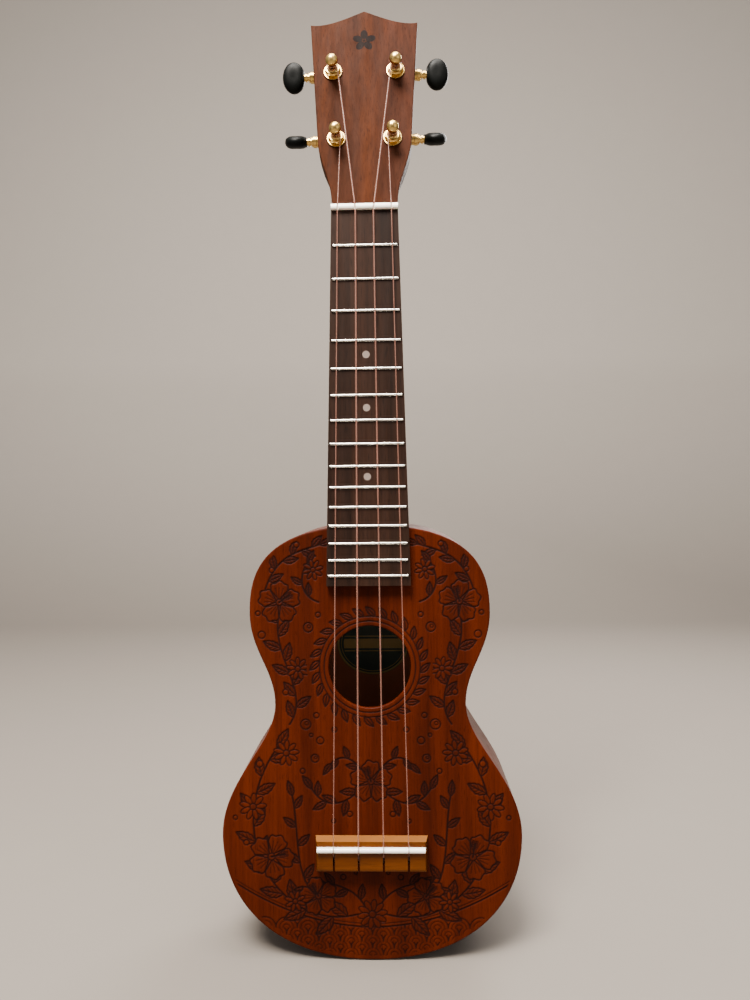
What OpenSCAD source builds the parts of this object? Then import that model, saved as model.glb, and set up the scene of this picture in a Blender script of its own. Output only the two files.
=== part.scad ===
// Soprano ukulele, hung upright: +Z runs up the neck, the soundboard faces -Y, the back lies on Y = 0.
// The origin is the point on the back directly behind the saddle crown. All sizes are millimetres.

/* [Scale and fretboard] */
// Theoretical scale length that places the frets
scale_len = 345; // [340:1:350]
// Extra length between fret twelve and the saddle so that stretched strings stay in tune
saddle_comp = 4; // [2:0.5:5]
// Number of frets
fret_count = 15; // [12:1:15]
// Fretboard width at the nut
nut_w = 36.6; // [35:0.2:38]
// Gain in half width of the fretboard per millimetre from the nut
board_taper = 0.024; // [0.018:0.001:0.026]
// Fretboard thickness
board_t = 4.5; // [4:0.1:5]
// Height of the fretboard's free end above the saddle line
board_end_z = 143.5; // [143:0.5:146]
// Height of a fret crown above the fretboard
fret_h = 0.9; // [0.7:0.1:1.0]
// Width of a fret crown
fret_w = 1.5; // [1.2:0.1:2]
// Diameter of the position dots
dot_d = 4; // [3:0.5:6]

/* [Body] */
// Depth of the body over both plates
body_depth = 60; // [58:1:64]
// Thickness of the soundboard and of the back
plate_t = 2; // [1.8:0.1:2.2]
// Thickness of the bent sides
side_t = 2; // [1.6:0.1:2.2]
// Half width of the upper bout
upper_half = 66.7; // [64:0.1:68]
// Half width of the waist
waist_half = 53; // [52:0.1:55]
// Half width of the lower bout
lower_half = 83.3; // [82:0.1:86]
// Radius of the soundhole
hole_r = 22.8; // [21:0.1:24]
// Height of the soundhole's centre above the saddle line
hole_z = 98; // [96:0.5:100]

/* [Bridge and strings] */
// Width of the bridge at its foot
bridge_w = 62.2; // [60:0.1:66]
// Height of the bridge off the soundboard
bridge_h = 8; // [7.5:0.1:8.5]
// Distance between neighbouring strings at the saddle
pitch_saddle = 13.65; // [13:0.05:14]
// Distance between neighbouring strings at the nut
pitch_nut = 9.8; // [9:0.1:10]
// String diameters, from the left (G C E A)
string_d = [0.62, 0.91, 0.81, 0.62];

/* [Headstock and tuners] */
// Backward tilt of the headstock
head_tilt = 10; // [8:0.5:12]
// Thickness of the headstock
head_t = 11; // [10:0.5:11.5]
// Half width of the headstock at its top corners
head_top_half = 30.8; // [30:0.1:32]
// Distance of each lower post from the nut, along the headstock
post_low = 41.6; // [40:0.2:43]
// Distance of each upper post from the nut, along the headstock
post_high = 83.6; // [82:0.2:85]
// Half distance between the lower posts
post_low_x = 15.8; // [15.4:0.1:16.2]
// Half distance between the upper posts
post_high_x = 17.8; // [17.4:0.1:18.2]
// Teeth on each worm wheel, which is also the tuning ratio
wheel_teeth = 18; // [18:1:18]
// Module of the worm gearing
gear_m = 0.75; // [0.75:0.01:0.75]

/* [Hidden] */
$fn = 48;

front_y = -body_depth;                 // outer face of the soundboard
inner_front = front_y + plate_t;       // underside of the soundboard
inner_back = -plate_t;                 // inner face of the back
board_y = front_y - board_t;           // playing face of the fretboard
nut_z = scale_len + saddle_comp;       // fretboard side of the nut
nut_t = 3.2;                           // nut thickness along the neck
head_z = nut_z + nut_t;                // headstock face starts here
body_top = 176.7;                      // neck end of the body outline
body_bottom = -65.3;                   // tail end of the body outline
string_floor = board_y - fret_h - 0.2; // underside of the strings at the nut
saddle_top = board_y - 5.8;            // crown of the saddle
saddle_r = 1.4;                        // half thickness and crown radius of the saddle
over = 1;                              // how far a cutter runs past the surface it cuts

block_wood = [0.66, 0.47, 0.3];
string_color = [0.82, 0.62, 0.55, 0.9];
fitting_gold = [0.83, 0.64, 0.28];
case_gold = [0.84, 0.66, 0.3];

// ---------- helpers ----------

// Extrudes a shape drawn in X and Z between two depths
module slab(front, back)
    translate([0, back, 0]) rotate([90, 0, 0]) linear_extrude(back - front) children();

// Extrudes a shape drawn in Y and Z to the right, starting at x
module across(x, width) translate([x, 0, 0]) rotate([90, 0, 90]) linear_extrude(width) children();

// A cylinder or cone on the Z axis
module rod(start, length, radius, end_radius) translate([0, 0, start])
    cylinder(r1 = radius, r2 = is_undef(end_radius) ? radius : end_radius, h = length);

// Joins closed loops of equal length into one solid, with flat ends
module skin(loops) {
    size = len(loops[0]);
    final = len(loops) - 1;
    sides = [for (i = [0:final - 1]) for (j = [0:size - 1])
        let (here = i * size + j, next = i * size + (j + 1) % size)
        each [[here, here + size, next + size], [here, next + size, next]]];
    ends = [[for (j = [0:size - 1]) j], [for (j = [size - 1:-1:0]) final * size + j]];
    polyhedron([for (loop = loops) each loop], concat(sides, ends), convexity = 6);
}

function unit(vector) = vector / norm(vector);
function polar(radius, angle) = radius * [cos(angle), sin(angle)];
function signed_pow(x, power) = sign(x) * pow(abs(x), power);
function reversed(list) = [for (i = [len(list) - 1:-1:0]) list[i]];
// Closes a right-hand half outline with its mirror image; points on the centre line stay single
function symmetric(half) = concat(half, reversed([for (p = half) if (p[0] > 0) [-p[0], p[1]]]));

// A Bezier curve is [start, handle, handle, end]
function bezier(curve, t) = pow(1 - t, 3) * curve[0] + 3 * t * pow(1 - t, 2) * curve[1]
    + 3 * t * t * (1 - t) * curve[2] + t * t * t * curve[3];
// Points along a curve, without its end
function trace(curve, steps) = [for (i = [0:steps - 1]) bezier(curve, i / steps)];

// Loops of a round cord along a path; every ring stands square to the path
cord_sides = 8;
function cord(path, radius) = [for (i = [0:len(path) - 1]) let (
    ahead = unit(path[min(i + 1, len(path) - 1)] - path[max(i - 1, 0)]),
    across = unit(cross(ahead, [1, 0.13, 0.07])),
    upright = cross(ahead, across))
    [for (j = [0:cord_sides - 1]) let (ring = polar(radius, 360 * j / cord_sides))
        path[i] + ring[0] * across + ring[1] * upright]];

// ---------- body outline ----------

upper_z = 128.3; // heights of the widest and narrowest places
waist_z = 77.3;
lower_z = 4.3;
// Right half from neck to tail, as curves in X and Z
body_curves = [
    [[0, body_top], [61.5, body_top], [upper_half, upper_z + 20.4], [upper_half, upper_z]],
    [[upper_half, upper_z], [upper_half, upper_z - 21.2],
        [waist_half, waist_z + 19.3], [waist_half, waist_z]],
    [[waist_half, waist_z], [waist_half, waist_z - 22.2],
        [lower_half, lower_z + 30.5], [lower_half, lower_z]],
    [[lower_half, lower_z], [lower_half, lower_z - 41.5], [51.2, body_bottom], [0, body_bottom]]];
body_half = concat([for (curve = body_curves) each trace(curve, 26)], [[0, body_bottom]]);
last = len(body_half) - 1;

// The right half of the outline, moved inwards
function inset_half(inset) = [for (i = [0:last]) let (
    tangent = i == 0 ? [1, 0] : i == last ? [-1, 0] : unit(body_half[i + 1] - body_half[i - 1]))
    body_half[i] + inset * [tangent[1], -tangent[0]]];
// A point on a half outline, at a fractional index
function point_at(half, place) = let (i = min(floor(place), last - 1), share = place - i)
    half[i] * (1 - share) + half[i + 1] * share;

module body_shape(inset = 0) polygon(symmetric(inset_half(inset)));

// ---------- body ----------

neck_block_half = 22;
neck_block_h = 24;
tail_block_half = 20;
tail_block_h = 13;
dovetail_top_half = 7;
dovetail_half = 9;      // half width at the inner, wider end
dovetail_depth = 11;
dovetail_back = -22;    // y of the dovetail's rear end
lining_h = 6;
lining_web = 1.2;       // thickness of the strip behind its teeth
lining_depth = 4.6;     // thickness over the teeth
tooth_pitch = 1.6;      // in steps of the outline
brace_w = 6;
brace_end_h = 2.2;      // height of a brace at its thinned ends
brace_half = 84;        // half length of the brace profile

module soundboard() color([0.36, 0.13, 0.05]) difference() {
    slab(front_y, inner_front) body_shape();
    translate([0, inner_front + over, hole_z]) rotate([90, 0, 0])
        cylinder(r = hole_r, h = plate_t + 2 * over, $fn = 96);
}

module back_plate() color([0.42, 0.17, 0.08]) slab(inner_back, 0) body_shape();

// Bent side, from the neck joint's slot round to the tail seam
module bent_side(left) color([0.45, 0.19, 0.1]) mirror([left ? 1 : 0, 0, 0]) difference() {
    slab(inner_front, inner_back) polygon(concat(inset_half(0), reversed(inset_half(side_t))));
    translate([-over, front_y, body_top - dovetail_depth - over])
        cube([dovetail_half + over, body_depth, 20]);
}

// Right half of a kerfed strip in the corner between a plate and the sides, cut away at the blocks
module lining_strip(front) {
    web = inset_half(side_t + lining_web);
    tips = inset_half(side_t + lining_depth);
    teeth = floor((last - 1) / tooth_pitch);
    comb = [for (i = [teeth - 1:-1:0])
        let (start = 0.6 + i * tooth_pitch, near = start + 0.3, far = start + tooth_pitch - 0.12)
        each [point_at(web, far), point_at(tips, far), point_at(tips, near), point_at(web, near)]];
    difference() {
        slab(front, front + lining_h)
            polygon(concat(inset_half(side_t), [web[last]], comb, [web[0]]));
        translate([-over, front - over, body_top - neck_block_h])
            cube([neck_block_half + 2 * over, lining_h + 2 * over, neck_block_h]);
        translate([-over, front - over, body_bottom])
            cube([tail_block_half + 2 * over, lining_h + 2 * over, tail_block_h + over]);
    }
}
module lining(front) color([0.74, 0.58, 0.38]) {
    lining_strip(front);
    mirror([1, 0, 0]) lining_strip(front);
}

// Dovetail on the neck's heel; gap is the room the glue takes up
module dovetail(front, gap) slab(front, dovetail_back + gap) polygon(symmetric([
    [dovetail_top_half + gap, body_top + 1],
    [dovetail_half + gap, body_top - dovetail_depth - gap]]));

module neck_block() color(block_wood) difference() {
    slab(inner_front, inner_back) intersection() {
        body_shape(side_t);
        translate([-neck_block_half, body_top - neck_block_h])
            square([2 * neck_block_half, neck_block_h]);
    }
    dovetail(inner_front - 0.01, 0.05);
    // widens the mouth of the dovetail's socket
    translate([-8.9, inner_front - over, body_top - 3]) cube([17.8, 36 + over, 4]);
}

module tail_block() color(block_wood) slab(inner_front, inner_back) intersection() {
    body_shape(side_t);
    translate([-tail_block_half, body_bottom]) square([2 * tail_block_half, tail_block_h]);
}

// Transverse brace with thinned ends, standing on a plate at plate_y; facing is its way in Y
module brace(z, height, plate_y, facing) color([0.78, 0.64, 0.44]) intersection() {
    crest_y = plate_y + facing * height;
    slab(min(plate_y, crest_y), max(plate_y, crest_y)) intersection() {
        body_shape(side_t + lining_depth + 0.3);
        translate([-90, z - brace_w / 2]) square([180, brace_w]);
    }
    translate([0, 0, z - brace_w / 2]) linear_extrude(brace_w) polygon(concat(
        [for (x = [-brace_half:6:brace_half]) [x, plate_y]],
        [for (x = [brace_half:-6:-brace_half]) let (fullness = pow(max(0, cos(x * 1.1)), 0.45))
            [x, plate_y + facing * (brace_end_h + (height - brace_end_h) * fullness)]]));
}
module top_brace(z) brace(z, 8, inner_front, 1);
module back_brace(z) brace(z, 7, inner_back, -1);

module bridge_patch() color([0.7, 0.52, 0.32]) slab(inner_front, inner_front + 1.5)
    translate([-36, -19]) square([72, 28]);

// Oval on the inner face of the back, behind the soundhole
module label() color([0.1, 0.22, 0.12]) slab(inner_back - 0.25, inner_back)
    translate([0, hole_z + 1.5])
    polygon([for (i = [0:71]) [22.6 * cos(5 * i), 19.6 * sin(5 * i)]]);

// ---------- headstock frame ----------

// The headstock's own frame: +Y up the headstock, +Z out of its face
module on_head()
    translate([0, front_y, head_z]) rotate([90 - head_tilt, 0, 0]) children();

// A point of the main frame in the headstock's frame, and back
function to_head(point) = let (v = point - [0, front_y, head_z])
    [v[0], v[1] * sin(head_tilt) + v[2] * cos(head_tilt),
        -v[1] * cos(head_tilt) + v[2] * sin(head_tilt)];
function from_head(p) = [p[0], front_y + p[1] * sin(head_tilt) - p[2] * cos(head_tilt),
    head_z + p[1] * cos(head_tilt) + p[2] * sin(head_tilt)];

head_back = -head_t; // rear face of the headstock in its own frame

// Right half of the headstock's plan, from the nut up to the crown's peak
head_corner = [head_top_half, 114.6];
head_peak = [0, 122.8];
head_half = concat(
    [[nut_w / 2, 0]],
    trace([[18.4, 4], [18.6, 13], [22.4, 22], [24.6, 30.5]], 9),
    trace([[24.6, 30.5], [25.5, 34], [26.1, 36.5], [26.35, 41]], 4),
    [[26.35, 41]],
    trace([head_corner, [21, 112.8], [8, 119.6], head_peak], 12),
    [head_peak]);

// ---------- neck ----------

function board_half(z) = nut_w / 2 + board_taper * (nut_z - z);
// Rounded underside of the neck as [x, depth]; smaller powers give fuller corners
function neck_section(half, depth, x_power, depth_power) = [for (i = [0:16])
    let (angle = 180 * i / 16)
    [half * signed_pow(cos(angle), x_power), depth * pow(abs(sin(angle)), depth_power)]];
// Places a section across the neck at z
function at_z(section, z) = [for (p = section) [p[0], front_y + p[1], z]];
// Places a section across the headstock at y of its frame, sunk just below its face
function at_head(section, y) = [for (p = section) from_head([p[0], y, -max(p[1], 0.08)])];

neck_stations = [body_top - 4, 190, 205, 222, 240, 265, 290, 315, 332];
neck_loops = concat(
    [for (z = neck_stations)
        at_z(neck_section(board_half(z), 14.6 - 1.4 * (z - 176) / 156, 0.8, 0.9), z)],
    [at_z(neck_section(board_half(343), 13.4, 0.66, 0.72), 343),
        at_z(neck_section(nut_w / 2, 13.1, 0.55, 0.6), head_z - 0.5),
        at_head(neck_section(18, 11.8, 0.36, 0.4), 6),
        at_head(neck_section(17.3, head_t - 0.15, 0.24, 0.27), 14)]);

// Heel: level loops at these depths, wider and further up the neck towards the front
heel_stations = [-plate_t, -6, -12, -18, -24, -29, -33, -37, -41, -44, -47, -50, -54, -59];
function heel_rise(y) = min(1, max(0, (-y - plate_t) / 45));
function heel_half(y) = 10.5 + 11.2 * pow(heel_rise(y), 0.9);
function heel_reach(y) = 12 + 1.5 * heel_rise(y) + 34 * pow(heel_rise(y), 4.2);
function heel_loop(y) = [for (i = [0:14]) let (angle = 180 * i / 14)
    [heel_half(y) * signed_pow(cos(angle), 0.85), y, i == 0 || i == 14 ? body_top - 6
        : body_top - 2 + (heel_reach(y) + 2) * pow(sin(angle), 0.8)]];

module neck() color([0.43, 0.2, 0.11]) difference() {
    union() {
        difference() {
            union() {
                skin(neck_loops);
                skin([for (y = heel_stations) heel_loop(y)]);
            }
            slab(front_y - over, over) body_shape();
        }
        dovetail(inner_front + 0.05, 0);
        on_head() translate([0, 0, head_back]) linear_extrude(head_t)
            polygon(symmetric(head_half));
    }
    for (i = [0:3]) at_post(i) {
        rod(head_back - 4, head_t + 8, bushing_r);
        translate([0, lug_y, 0]) rod(head_back - 1, 9, screw_r + 0.01, $fn = 24);
    }
}

module heel_cap() color([0.24, 0.12, 0.07]) difference() {
    slab(inner_back, 0) polygon([for (p = heel_loop(-plate_t)) [p[0], p[2]]]);
    slab(-10, over) body_shape();
}

// ---------- fretboard ----------

tang_depth = 2.1;
tang_half = 0.28; // half thickness of a fret's tang
dot_depth = 1.2;
function fret_z(number) = nut_z - scale_len * (1 - pow(2, -number / 12));

module fretboard() color([0.25, 0.13, 0.09]) difference() {
    slab(board_y, front_y) polygon(symmetric(
        [for (z = [nut_z, board_end_z]) [board_half(z), z]]));
    for (i = [1:fret_count]) translate([-40, board_y - over, fret_z(i) - tang_half])
        cube([80, tang_depth + over, 2 * tang_half]);
    dots();
}

// One fret: a rounded crown with a tang below it, ends filed back from the board's edge
module fret(z) intersection() {
    end_x = board_half(z) - 0.9;
    translate([0, 0, z]) across(-end_x, 2 * end_x) polygon(concat(
        [for (i = [0:12]) let (angle = 180 * i / 12)
            [board_y - fret_h * pow(sin(angle), 0.8), fret_w / 2 * cos(angle)]],
        [[board_y, -tang_half], [board_y + tang_depth, -tang_half],
            [board_y + tang_depth, tang_half], [board_y, tang_half]]));
    // bevelled ends
    translate([0, 0, z - 2]) linear_extrude(4) polygon(symmetric(
        [[end_x - 0.6, board_y - 1.2], [end_x, board_y - 0.1], [end_x, board_y + 3]]));
}
module frets() color([0.82, 0.8, 0.76]) for (i = [1:fret_count]) fret(fret_z(i));

// Dots lie midway between a fret and the one before it
module dots() for (i = [5, 7, 10])
    translate([0, board_y + dot_depth, (fret_z(i) + fret_z(i - 1)) / 2])
    rotate([90, 0, 0]) cylinder(d = dot_d, h = dot_depth, $fn = 32);
module position_dots() color([0.86, 0.82, 0.76]) dots();

// ---------- nut, bridge, saddle ----------

// A course is a string's number: 0 to 3 for G C E A, from the left
function nut_x(course) = (course - 1.5) * pitch_nut;
function saddle_x(course) = (course - 1.5) * pitch_saddle;
function string_r(course) = string_d[course] / 2;

// Sideways run of a string across the nut, on its way to its post
function nut_drift(course) = let (
    run = wrap_point(course, wrap_start(course), 0) - to_head([nut_x(course), string_floor, nut_z]))
    run[0] / run[1] * nut_t;

nut_slot_slack = 0.12;
module nut() color([0.93, 0.9, 0.84]) difference() {
    across(-nut_w / 2, nut_w) polygon([[front_y, nut_z], [string_floor - 0.1, nut_z],
        [string_floor - 0.75, nut_z + 0.35], [string_floor - 0.95, nut_z + 1.0],
        [string_floor - 0.9, nut_z + 1.7], [string_floor - 0.2, head_z - 0.15],
        [string_floor + 0.5, head_z], [front_y, head_z]]);
    // string slots: the floor falls towards the headstock, the plan leans towards the post
    for (i = [0:3]) intersection() {
        across(nut_x(i) - 4, 8) polygon([
            [string_floor + 0.03, nut_z - 1], [string_floor + 0.03, nut_z + 0.1],
            [string_floor + 0.8, head_z + 0.1], [string_floor - 4, head_z + 0.1],
            [string_floor - 4, nut_z - 1]]);
        // corners as [side, share of the nut's thickness]
        slab(string_floor - 5, front_y)
            polygon([for (corner = [[-1, -0.2], [1, -0.2], [1, 1.03], [-1, 1.03]])
                [nut_x(i) + corner[0] * (string_r(i) + nut_slot_slack)
                    + max(0, corner[1]) * nut_drift(i), nut_z + corner[1] * nut_t]]);
    }
}

bridge_top = front_y - bridge_h;
bridge_bottom_z = -12.2;
saddle_slot_depth = 4;
saddle_half = 29.5;
slot_w = 1.15;        // width of a string slot
slot_end_z = -12.3;   // string slots run out just past the bridge
knot_z = -9.3;

module bridge() color([0.55, 0.3, 0.08]) difference() {
    // block with sloping ends
    translate([0, 0, bridge_bottom_z]) linear_extrude(16.5) polygon(symmetric([
        [bridge_w / 2, front_y], [bridge_w / 2 - 0.1, front_y - 1.2],
        [bridge_w / 2 - 1.1, bridge_top + 0.6], [bridge_w / 2 - 1.6, bridge_top]]));
    // eased edge towards the tail
    across(-40, 80) polygon([[bridge_top - over, -10.6], [bridge_top, -10.6],
        [bridge_top + 0.7, slot_end_z], [bridge_top - over, slot_end_z]]);
    // saddle slot, open at both ends
    translate([-40, bridge_top - over, -saddle_r])
        cube([80, saddle_slot_depth + over, 2 * saddle_r]);
    for (i = [0:3]) {
        // string slot: a ramp down from the saddle, then right through to the soundboard
        across(saddle_x(i) - slot_w / 2, slot_w) polygon([
            [bridge_top - over, slot_end_z], [bridge_top - over, -2.3], [bridge_top + 0.8, -2.3],
            [front_y - 4.5, -6.3], [front_y + over, -6.3], [front_y + over, slot_end_z]]);
        // room for the knot
        translate([saddle_x(i), front_y + over, knot_z]) rotate([90, 0, 0])
            cylinder(r = 1.75, h = 4.6, $fn = 32);
    }
}

crown_y = saddle_top + saddle_r; // axis of the saddle's rounded crown
module saddle() color([0.97, 0.96, 0.92]) union() {
    translate([-saddle_half, crown_y, -saddle_r])
        cube([2 * saddle_half, bridge_top + saddle_slot_depth - crown_y, 2 * saddle_r]);
    translate([0, crown_y, 0]) rotate([0, 90, 0])
        rod(-saddle_half, 2 * saddle_half, saddle_r - 0.001, $fn = 48);
}

// ---------- tuner layout ----------

wheel_r = gear_m * wheel_teeth / 2;   // pitch radius of the worm wheel
worm_r = 2.6;                         // pitch radius of the worm
worm_y = wheel_r + worm_r;            // worm axis above the post axis
axis_z = head_back - 4.6;             // worm axis behind the headstock's face
lug_y = -11.2;                        // mounting screw, below the post
post_r = 3;
shaft_r = 1.8;
bushing_r = 4;
screw_r = 0.94;
running_gap = 0.06;                   // between a turning part and its bore

// Outer strings use the lower posts
function on_low_post(course) = course == 0 || course == 3;
function hand(course) = course < 2 ? -1 : 1; // -1 for the left of the headstock
function post_x(course) = hand(course) * (on_low_post(course) ? post_low_x : post_high_x);
function post_y(course) = on_low_post(course) ? post_low : post_high;

// Tuner frame: the headstock frame moved to a post, +X outwards, mirrored on the left
module at_post(course) on_head() translate([post_x(course), post_y(course), 0])
    mirror([course < 2 ? 1 : 0, 0, 0]) children();
module each_post() for (i = [0:3]) at_post(i) children();
// Turns +Z to run outwards along the worm's axis, in the tuner frame
module on_worm_axis() translate([0, worm_y, axis_z]) rotate([0, 90, 0]) children();

// ---------- strings ----------

waist_r = 2.2;       // narrowest radius of the post
wrap_low = 3.75;     // underside of the lowest wrap, above the headstock's face
wrap_gap = 0.06;
wrap_turn = 380;     // degrees the strand itself wraps
flat_turn = 20;      // degrees of it before it starts to climb
hole_up = 7.95;      // string hole above the headstock's face

function wrap_r(course) = waist_r + string_r(course) + wrap_gap;
function wrap_pitch(course) = string_d[course] + wrap_gap;
function wrap_point(course, angle, z) = [post_x(course) + wrap_r(course) * cos(angle),
    post_y(course) + wrap_r(course) * sin(angle), z];
// Angle at which the strand from the nut meets its wrap
function wrap_start(course) = let (
    from = to_head([nut_x(course), string_floor - string_r(course), nut_z]),
    run = [from[0] - post_x(course), from[1] - post_y(course)])
    atan2(run[1], run[0]) - hand(course) * acos(wrap_r(course) / norm(run));
// The strand's own wrap round the post
function wrap_path(course) = [for (i = [0:24]) let (
    turned = wrap_turn * i / 24,
    climb = wrap_pitch(course) * max(0, turned - flat_turn) / 360)
    from_head(wrap_point(course, wrap_start(course) - hand(course) * turned,
        wrap_low + string_r(course) + climb))];

// Knot and rise through the bridge slot: [distance in front of the soundboard, z]
knot_path = [[2.6, -9.2], [4, -8.5], [5, -7.5], [5.8, -6.45]];
function string_path(course) = let (
    x = saddle_x(course), bend_r = saddle_r + string_r(course) + 0.03)
    concat(
        [for (p = knot_path) [x, front_y - p[0], p[1]]],
        [for (angle = [40:-8:0]) [x, crown_y - bend_r * cos(angle), -bend_r * sin(angle)]],
        [[nut_x(course), string_floor - string_r(course), nut_z + 0.1]],
        wrap_path(course));

module string(course) color(string_color) {
    skin(cord(string_path(course), string_r(course)));
    translate([saddle_x(course), front_y - 2.1, knot_z]) sphere(r = 1.5, $fn = 12);
}

// The rest of the string, wound on the post above the strand and passed through its hole
winding_turn = 450;
module winding(course) color(string_color) {
    low = wrap_low + string_r(course) + wrap_pitch(course) * (wrap_turn - flat_turn) / 360
        + string_d[course] + 0.08;
    end_angle = course < 2 ? 180 : 0;
    skin(cord([for (i = [0:30])
        let (angle = end_angle - hand(course) * (winding_turn * i / 30 - winding_turn))
        from_head(wrap_point(course, angle, min(hole_up, low + (hole_up - low) * i / 26)))],
        string_r(course)));
    on_head() translate([post_x(course), post_y(course), hole_up]) rotate([0, 90, 0])
        rod(-3.9, 7.8, string_r(course), $fn = 8);
}

// ---------- tuner pieces, drawn in the tuner frame ----------

module post_bushing() color(fitting_gold) difference() {
    union() {
        rod(-8, 8.8, bushing_r);
        rod(0.8, 1.5, 4.6, $fn = 6);
        rod(2.3, 0.7, 4.1, 3.6);
    }
    rod(-9, 14, post_r + running_gap);
}
module post_washer() color(fitting_gold) difference() {
    rod(0, 0.8, 5.2);
    rod(-over, 3, bushing_r + 0.05);
}

// Half section of the post: [radius, z]
post_profile = concat(
    [[0, -18.2], [2.7, -18.2], [2.7, -17.5], [1.9, -17.5], [1.9, -13.7],
        [post_r, -13.7], [post_r, 3.2]],
    [for (i = [1:6]) [post_r - (post_r - waist_r) * sin(15 * i), 3.2 + 0.55 * i / 6]],
    [[waist_r, 8.3]],
    [for (i = [1:5]) [3.45 - 1.25 * cos(18 * i), 8.3 + 0.8 * i / 5]],
    [for (i = [0:8]) [3.45 * cos(11.25 * i), 9.6 + 2.9 * sin(11.25 * i)]]);
hex_r = 2.4; // six-sided seat of the worm wheel, over its corners

module post() color([0.86, 0.68, 0.32]) difference() {
    union() {
        rotate_extrude($fn = 64) polygon(post_profile);
        rod(-17.5, 3.8, hex_r, $fn = 6);
    }
    translate([0, 0, hole_up]) rotate([0, 90, 0]) rod(-5, 10, 0.62, $fn = 24);
}

// Worm wheel: slanted teeth to suit the thread's lead
wheel_t = 3.6;
wheel_slant = wheel_t * gear_m / (2 * worm_r) / wheel_r * 180 / PI;
// Corners of one tooth: [height over the pitch circle, share of the tooth pitch]
wheel_tooth = [[-0.95, -0.34], [0.55, -0.1], [0.55, 0.1], [-0.95, 0.34]];
module worm_wheel() color([0.72, 0.55, 0.25]) difference() {
    translate([0, 0, axis_z - wheel_t / 2]) rotate([0, 0, -wheel_slant / 2])
        linear_extrude(wheel_t, twist = -wheel_slant, slices = 4)
        polygon([for (i = [0:wheel_teeth - 1]) for (corner = wheel_tooth)
            polar(wheel_r + corner[0], 90 + 360 / wheel_teeth * (i + 0.5 + corner[1]))]);
    rod(axis_z - 3, 6, hex_r + 0.04, $fn = 6);
}

worm_len = 7.2;
worm_turns = worm_len / (PI * gear_m);
thread_tip = 3.2;
thread_root = 1.75;
// Radius of the thread at a share of one turn: flat crest, sloping flanks, then the root
function thread_r(share) = let (off = abs(share - 0.5)) off < 0.09 ? thread_tip
    : off < 0.27 ? thread_tip - (thread_tip - thread_root) * (off - 0.09) / 0.18
    : thread_root;
module worm_shaft() color(fitting_gold) on_worm_axis() difference() {
    union() {
        translate([0, 0, -worm_len / 2]) rotate([0, 0, 90 - worm_turns * 180])
            linear_extrude(worm_len, twist = -360 * worm_turns,
                slices = ceil(worm_turns * 14), $fn = 0)
            polygon([for (i = [0:19]) polar(thread_r(i / 20), 360 * i / 20)]);
        rod(-7, 21, shaft_r);
        rod(14, 12, shaft_r);
        // two collars
        rod(14.75, 0.7, 2.75);
        rod(16.4, 1.3, 2.3);
    }
    rod(20, 10, 0.9, $fn = 24);
}

button_x = 24.5;     // middle of the button along the worm axis
button_half = 6.7;   // half size along the shaft
button_stations = [-6.15, -5.9, -5.2, -4.4, -3.2, -1.6, 0, 1.6, 3.2, 4.4, 5.3, 5.95, 6.4, 6.62];
// Rest turn of each button about its shaft, different for the lower and upper pairs
function button_turn(course) = on_low_post(course) ? -57 : 14;
// Half length and half thickness at x from the button's middle; the inner end keeps a neck
function button_length(x) = let (oval = 8.9 * sqrt(max(0, 1 - pow(x / button_half, 2))))
    x < -4.4 ? max(oval, 3.4) : oval;
function button_thick(x) = let (
    oval = 3.75 * pow(max(0, 1 - pow(abs(x) / button_half, 2.8)), 1 / 2.2))
    x < -4 ? max(oval, 2.75) : oval;
module button(course) color([0.05, 0.05, 0.055]) translate([button_x, worm_y, axis_z])
    rotate([button_turn(course), 0, 0]) difference() {
        skin([for (x = button_stations) let (ease = x < -6 ? 0.92 : 1)
            [for (j = [0:31]) let (angle = 360 * j / 32)
                [x, ease * button_length(x) * signed_pow(cos(angle), 0.86),
                    ease * button_thick(x) * signed_pow(sin(angle), 0.86)]]]);
        // bores for the shaft, the screw and the screw's head
        rotate([0, 90, 0]) {
            rod(-7, 8.62, shaft_r + 0.02, $fn = 24);
            rod(1, 8, 1.0, $fn = 20);
            rod(5.2, 4, 2.1, $fn = 24);
        }
    }
module button_screw() color(fitting_gold) on_worm_axis() translate([0, 0, button_x])
    difference() {
        union() {
            rod(5.2, 0.9, 1.95, 1.6, $fn = 32);
            rod(-4, 9.4, 0.88, $fn = 24);
        }
        // crossed driver slots
        translate([-2, -0.2, 5.75]) cube([4, 0.4, 1]);
        translate([-0.2, -2, 5.75]) cube([0.4, 4, 1]);
    }

case_depth = 8.2;
case_cut_z = head_back - 9;  // cutters start here, behind the case
lug_room = [8, 6.5];         // space cleared behind the screw lug
module housing_plan() {
    circle(r = 8.9);
    translate([-8.5, 0]) square([17, worm_y + 4.5]);
    translate([-3, lug_y - 2.8]) square([6, 6]);
}
module tuner_housing() color(case_gold) difference() {
    translate([0, 0, head_back - case_depth]) linear_extrude(case_depth) housing_plan();
    // room for the wheel and the worm
    rod(case_cut_z, 7.8, 7.7);
    translate([-4.1, 3, case_cut_z]) cube([8.2, worm_y + 0.6, 7.9]);
    // bores for the post, the shaft and its bushing
    rod(head_back - 3, 5, post_r + running_gap);
    on_worm_axis() rod(-7.1, 8, shaft_r + running_gap);
    on_worm_axis() rod(4, 6, 3.3);
    // screw lug, thinner than the case
    translate([-4, lug_y - 4, case_cut_z]) cube([lug_room[0], lug_room[1], 7.6]);
    translate([0, lug_y, 0]) rod(head_back - 3, 5, 1.1, $fn = 24);
}
module shaft_bushing() color(case_gold) on_worm_axis() difference() {
    union() {
        rod(4.15, 4.35, 3.3);
        rod(8.5, 6.1, 2.95);
        rod(12.6, 2, 3.2);
    }
    rod(3, 14, shaft_r + running_gap);
}
module tuner_cover() color(case_gold) translate([0, 0, head_back - case_depth - 1.1])
    linear_extrude(1.1) difference() {
        housing_plan();
        translate([-4, lug_y - 4]) square(lug_room);
    }
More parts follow.
